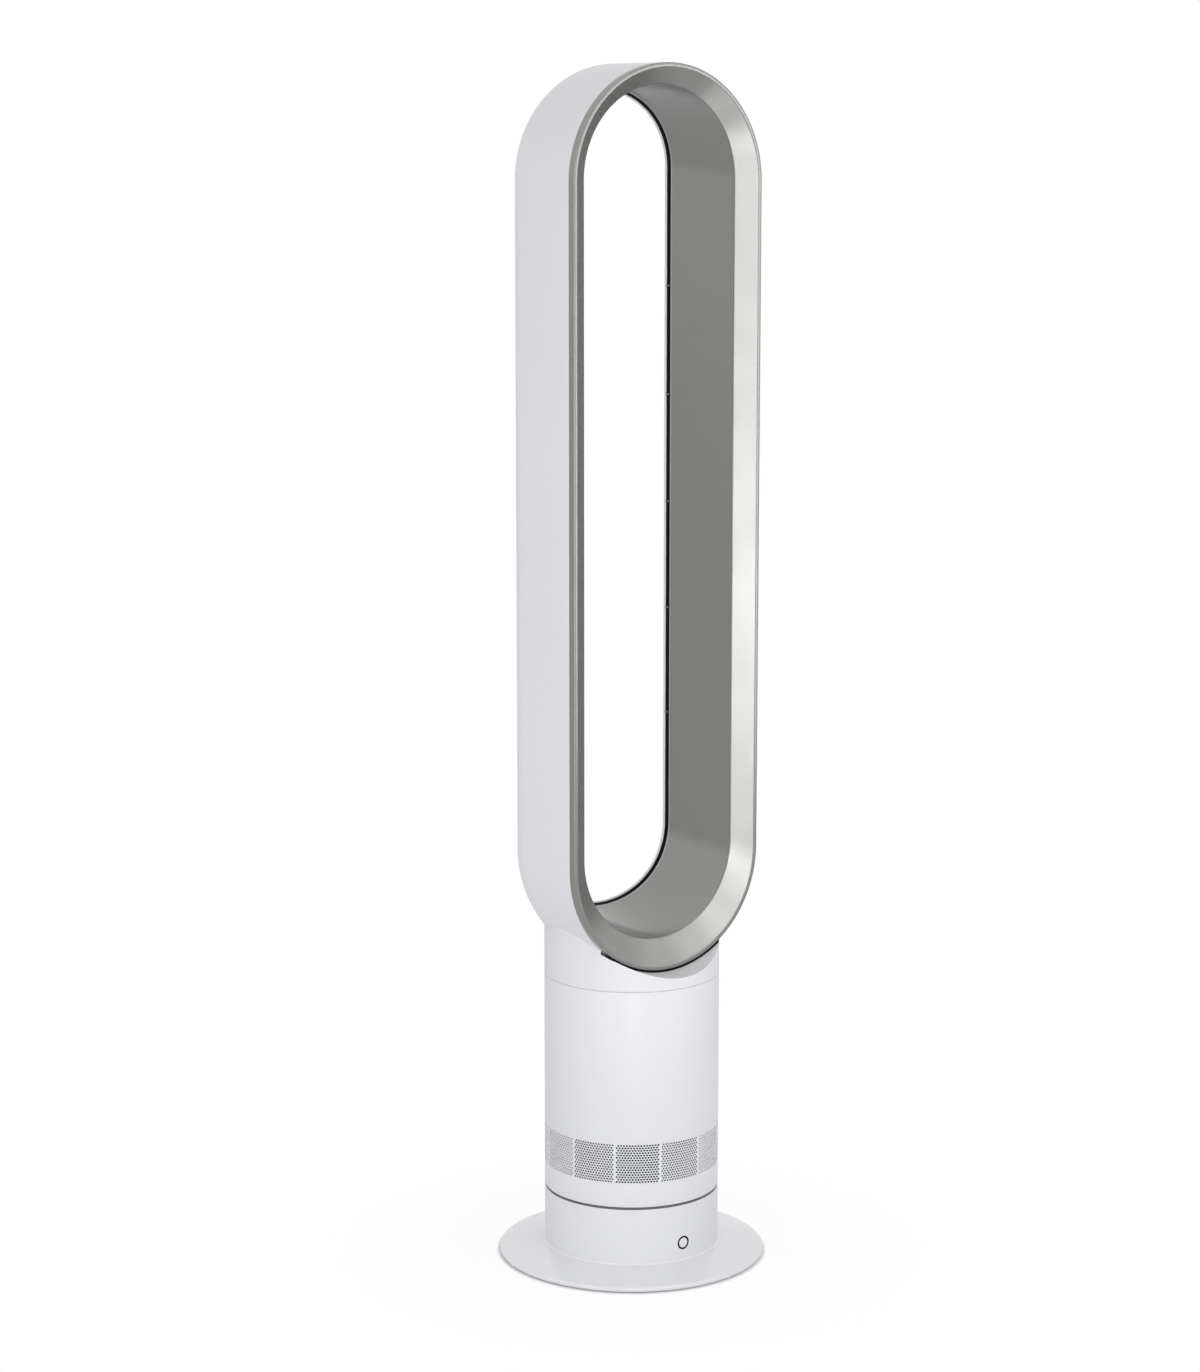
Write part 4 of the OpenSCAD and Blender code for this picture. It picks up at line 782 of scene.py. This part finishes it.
class BandTree(Graph):
    """Geometry Nodes that lay bricks in staggered rows and wrap them round the body."""

    INPUTS = {
        "Pierced brick": "NodeSocketObject", "Plain brick": "NodeSocketObject", "Columns": "NodeSocketInt",
        "Rows": "NodeSocketInt", "Panels": "NodeSocketInt", "Plain columns": "NodeSocketInt",
        "Pitch": "NodeSocketFloat", "Row height": "NodeSocketFloat", "Radius": "NodeSocketFloat",
        "Middle height": "NodeSocketFloat", "Angle": "NodeSocketFloat", "Finish": "NodeSocketMaterial"}

    def __init__(self):
        super().__init__(bpy.data.node_groups.new("perforated_band", "GeometryNodeTree"))
        face = self.tree.interface
        self.keys = {key: face.new_socket(key, in_out="INPUT", socket_type=kind).identifier
                     for key, kind in self.INPUTS.items()}
        face.new_socket("Geometry", in_out="OUTPUT", socket_type="NodeSocketGeometry")
        given = self.tree.nodes.new("NodeGroupInput")
        self.size = {key: Wire(self, given.outputs[key]) for key in self.INPUTS}
        self.lay()

    def brick_at(self, points, chosen, key):
        settings = {"transform_space": "ORIGINAL"}
        shape = self.node("GeometryNodeObjectInfo", settings, (self.size[key],), out="Geometry")
        return self.node("GeometryNodeInstanceOnPoints", sockets=(points, chosen, shape))

    def lay(self):
        """Rows of bricks in the flat, every second row half a pitch along, then wrapped and merged."""
        size = self.size
        merge_within = 0.000004
        columns, rows = size["Columns"], size["Rows"]
        index = self.node("GeometryNodeInputIndex")
        row = ((index + 0.5) / columns).math("FLOOR")
        column = index - row * columns
        along = (column + 0.5 * row.math("FLOORED_MODULO", 2.0)) * size["Pitch"]
        up = (row + 0.5 - rows * 0.5) * size["Row height"] + size["Middle height"]
        points = self.node("GeometryNodePoints", sockets=(columns * rows, self.vector(along, 0.0, up)))
        plain = column.math("FLOORED_MODULO", columns / size["Panels"]) < size["Plain columns"]
        laid = [self.brick_at(points, 1.0 - plain, "Pierced brick"),
                self.brick_at(points, plain, "Plain brick")]
        joined = self.node("GeometryNodeJoinGeometry", sockets=(laid,))
        real = self.node("GeometryNodeRealizeInstances", sockets=(joined,))
        merged = self.node("GeometryNodeMergeByDistance",
                           sockets={"Geometry": self.wrapped(real), "Distance": merge_within})
        coated = self.node("GeometryNodeSetMaterial",
                           sockets={"Geometry": merged, "Material": size["Finish"]})
        self.node("NodeGroupOutput", sockets=(coated,))

    def wrapped(self, sheet):
        """The sheet on the body. All holes of a panel point one way, as the mould's slide leaves them."""
        size = self.size
        x, depth, z = self.split(self.node("GeometryNodeInputPosition"), (0, 1, 2))
        turn = x / size["Radius"] + size["Angle"]
        per_panel = size["Columns"] / size["Panels"]
        panel = (x / (size["Pitch"] * per_panel)).math("FLOOR")
        middle = 0.5 + 0.5 * (size["Plain columns"] - 0.5) / per_panel
        slide = (panel + middle) * (2 * math.pi / size["Panels"]) + size["Angle"]
        wrapped_x = size["Radius"] * turn.math("SINE") - depth * slide.math("SINE")
        wrapped_y = depth * slide.math("COSINE") - size["Radius"] * turn.math("COSINE")
        place = self.vector(wrapped_x, wrapped_y, z)
        return self.node("GeometryNodeSetPosition", sockets={"Geometry": sheet, "Position": place})


def build_band():
    """Perforated intake band: staggered holes in panels, with zigzag plain strips between them."""
    pitch = 2 * math.pi * BODY_R / BAND_COLUMNS
    low, high = INTAKE_LOW + BAND_EDGE, INTAKE_TOP - BAND_EDGE
    row = (high - low) / BAND_ROWS
    start = math.radians(BAND_ANGLE) - (PLAIN_COLUMNS - 0.5) * math.pi / BAND_COLUMNS
    bricks = [brick("pierced_brick", pitch, row, HOLE_R), brick("plain_brick", pitch, row, 0)]
    tree = BandTree()
    seed = hidden_object("band_seed", bpy.data.meshes.new("band_seed"))
    modifier = seed.modifiers.new("band", "NODES")
    modifier.node_group = tree.tree
    values = (*bricks, BAND_COLUMNS, BAND_ROWS, BAND_PANELS, PLAIN_COLUMNS,
              pitch * MM, row * MM, BODY_R * MM, (low + high) / 2 * MM, start, WHITE)
    for key, value in zip(BandTree.INPUTS, values):
        modifier[tree.keys[key]] = value
    graph = bpy.context.evaluated_depsgraph_get()
    mesh = bpy.data.meshes.new_from_object(seed.evaluated_get(graph))
    seed.modifiers.clear()
    for helper in (seed, *bricks):
        bpy.data.objects.remove(helper)
    add_piece("perforated_band", mesh, WHITE, "upper_body", ("intake_grille",), sharp=50)
    first = start - math.pi / 2
    back_r = BODY_R - SHEET_T
    for name, ring_low, ring_high in (("band_lower_edge", INTAKE_LOW, low),
                                      ("band_upper_edge", high, INTAKE_TOP)):
        profile = [(back_r, ring_low), (BODY_R, ring_low), (BODY_R, ring_high), (back_r, ring_high)]
        ring = mesh_of(name, *spun(profile, 2 * BAND_COLUMNS, first))
        add_piece(name, ring, WHITE, "upper_body", sharp=40)


def build_camera():
    """The photograph's view: from the front left, a little above the loop's middle."""
    azimuth, pitch = math.radians(-35.74), math.radians(9.70)
    away, aside, height = 2687.59, -27.02, 952.45
    back = Vector((math.sin(azimuth), -math.cos(azimuth), 0))
    right = Vector((math.cos(azimuth), math.sin(azimuth), 0))
    data = bpy.data.cameras.new("camera")
    data.lens = 85.18
    data.sensor_width = 36.0
    data.clip_start = 0.05
    camera = bpy.data.objects.new("camera", data)
    camera.location = (back * away + right * aside + Vector((0, 0, height))) * MM
    look = Vector((0, 0, -math.sin(pitch))) - back * math.cos(pitch)
    camera.rotation_euler = look.to_track_quat("-Z", "Y").to_euler()
    bpy.context.scene.collection.objects.link(camera)
    bpy.context.scene.camera = camera


def build_floor():
    """Pale floor that shows white to the camera away from the foot and keeps the shadow close to it."""
    corners = [(x * FLOOR_HALF, y * FLOOR_HALF, 0) for x, y in ((-1, -1), (1, -1), (1, 1), (-1, 1))]
    mesh = bpy.data.meshes.new("floor")
    mesh.from_pydata(corners, [], [(0, 1, 2, 3)])
    floor = bpy.data.objects.new("floor", mesh)
    bpy.context.scene.collection.objects.link(floor)
    f = new_finish("pale_floor")
    seen = f.node("ShaderNodeLightPath", out="Is Camera Ray")
    plain = f.node("ShaderNodeBsdfDiffuse", sockets={"Color": FLOOR_TONE, "Roughness": 0.5})
    bright = f.node("ShaderNodeEmission", sockets={"Color": PAPER_WHITE, "Strength": 1.0})
    away = f.length(f.place())
    fade = f.ramp(away, *FADE_NEAR) + f.ramp(away, *FADE_FAR)
    mixed = f.node("ShaderNodeMixShader", sockets=(seen * fade, plain, bright))
    f.node("ShaderNodeOutputMaterial", sockets=(mixed,))
    mesh.materials.append(f.owner)


def build_world():
    """White to the camera and in reflections, a softer grey as light."""
    world = bpy.data.worlds.new("studio")
    bpy.context.scene.world = world
    f = Finish(world)
    rays = ("Is Camera Ray", "Is Glossy Ray", "Is Transmission Ray")
    camera, glossy, through = f.node("ShaderNodeLightPath", out=rays)
    seen = (camera + glossy + through).math("MINIMUM", 1.0)
    shown = f.node("ShaderNodeBackground", sockets={"Color": PAPER_WHITE, "Strength": 1.0})
    fill = f.node("ShaderNodeBackground", sockets={"Color": PAPER_WHITE, "Strength": WORLD_FILL})
    mixed = f.node("ShaderNodeMixShader", sockets=(seen, fill, shown))
    f.node("ShaderNodeOutputWorld", sockets=(mixed,))


def bar_light(name, start, end, width, aim, radiance, spread):
    """A gridded bar light between two points in metres, facing a third."""
    start, end = Vector(start), Vector(end)
    middle, along = (start + end) / 2, (end - start).normalized()
    behind = (middle - Vector(aim)).normalized()
    up = behind.cross(along).normalized()
    along = up.cross(behind)
    half = math.radians(spread) / 2
    data = bpy.data.lights.new(name, "AREA")
    data.shape = "RECTANGLE"
    data.size, data.size_y = (end - start).length, width
    data.spread = 2 * half
    data.energy = radiance * math.pi * data.size * width * (1 - half / math.tan(half))
    lamp = bpy.data.objects.new(name, data)
    turned = Matrix((along, up, behind)).transposed().to_4x4()
    lamp.matrix_world = Matrix.Translation(middle) @ turned
    bpy.context.scene.collection.objects.link(lamp)


def bar_chain(name, points, width, aim, radiances, spread):
    """Bar lights end to end along a row of points, each with its own radiance."""
    for i, radiance in enumerate(radiances):
        bar_light(f"{name}_{i + 1}", points[i], points[i + 1], width, aim, radiance, spread)


def build_lights():
    """Two chains of bars that the silver bevel reflects, a box for its rim and a soft fill from the left."""
    bar_width = 0.22
    lower_arc, upper_arc = (0.05, -0.04, 0.31), (0.06, -0.04, 0.96)
    lower_chain = ((-0.66, -1.05, 0.29), (-0.30, -1.13, 0.80), (0.16, -1.06, 1.01),
                   (0.58, -0.88, 1.01), (0.95, -0.60, 0.84))
    upper_chain = ((-0.51, -0.76, 0.53), (-0.24, -0.62, 0.33), (0.10, -0.42, 0.16))
    bar_chain("lower_arc_bar", lower_chain, bar_width, lower_arc, (4.5, 3.7, 1.8, 0.7), spread=90.0)
    bar_chain("upper_arc_bar", upper_chain, bar_width, upper_arc, (2.6, 1.8), spread=60.0)
    bar_light("bevel_strip", (-0.784, -1.099, 0.0), (-0.784, -1.099, 1.17), width=0.18,
              aim=(0, 0, 0.75), radiance=6.0, spread=80.0)
    bar_light("rim_box", (0.999, -1.375, 0.14), (0.999, -1.375, 1.07), width=0.26,
              aim=(0, 0, 0.84), radiance=5.3, spread=40.0)
    bar_light("left_fill", (-1.50, -0.25, 0.35), (-1.50, -0.85, 0.35), width=0.60,
              aim=(0, 0, 0.20), radiance=2.2, spread=120.0)


def dress_nodes():
    """Give every node of the frame the finish of its record slot, or its own."""
    slots = {entry["node"]: entry["material_slot"] for entry in frame["record"]["subparts"]}
    for name, node in frame["nodes"].items():
        node.data.materials.clear()
        node.data.materials.append(NODE_FINISH.get(name, SLOT_FINISH[slots[name]]))


bpy.context.scene.view_settings.view_transform = "Standard"
build_camera()
build_world()
build_lights()
build_floor()
dress_nodes()
build_outer_loop()
build_inner_duct()
build_neck()
build_body_shell()
build_lower_collar()
build_foot_plate()
build_base_column()
build_button_ring()
build_band()
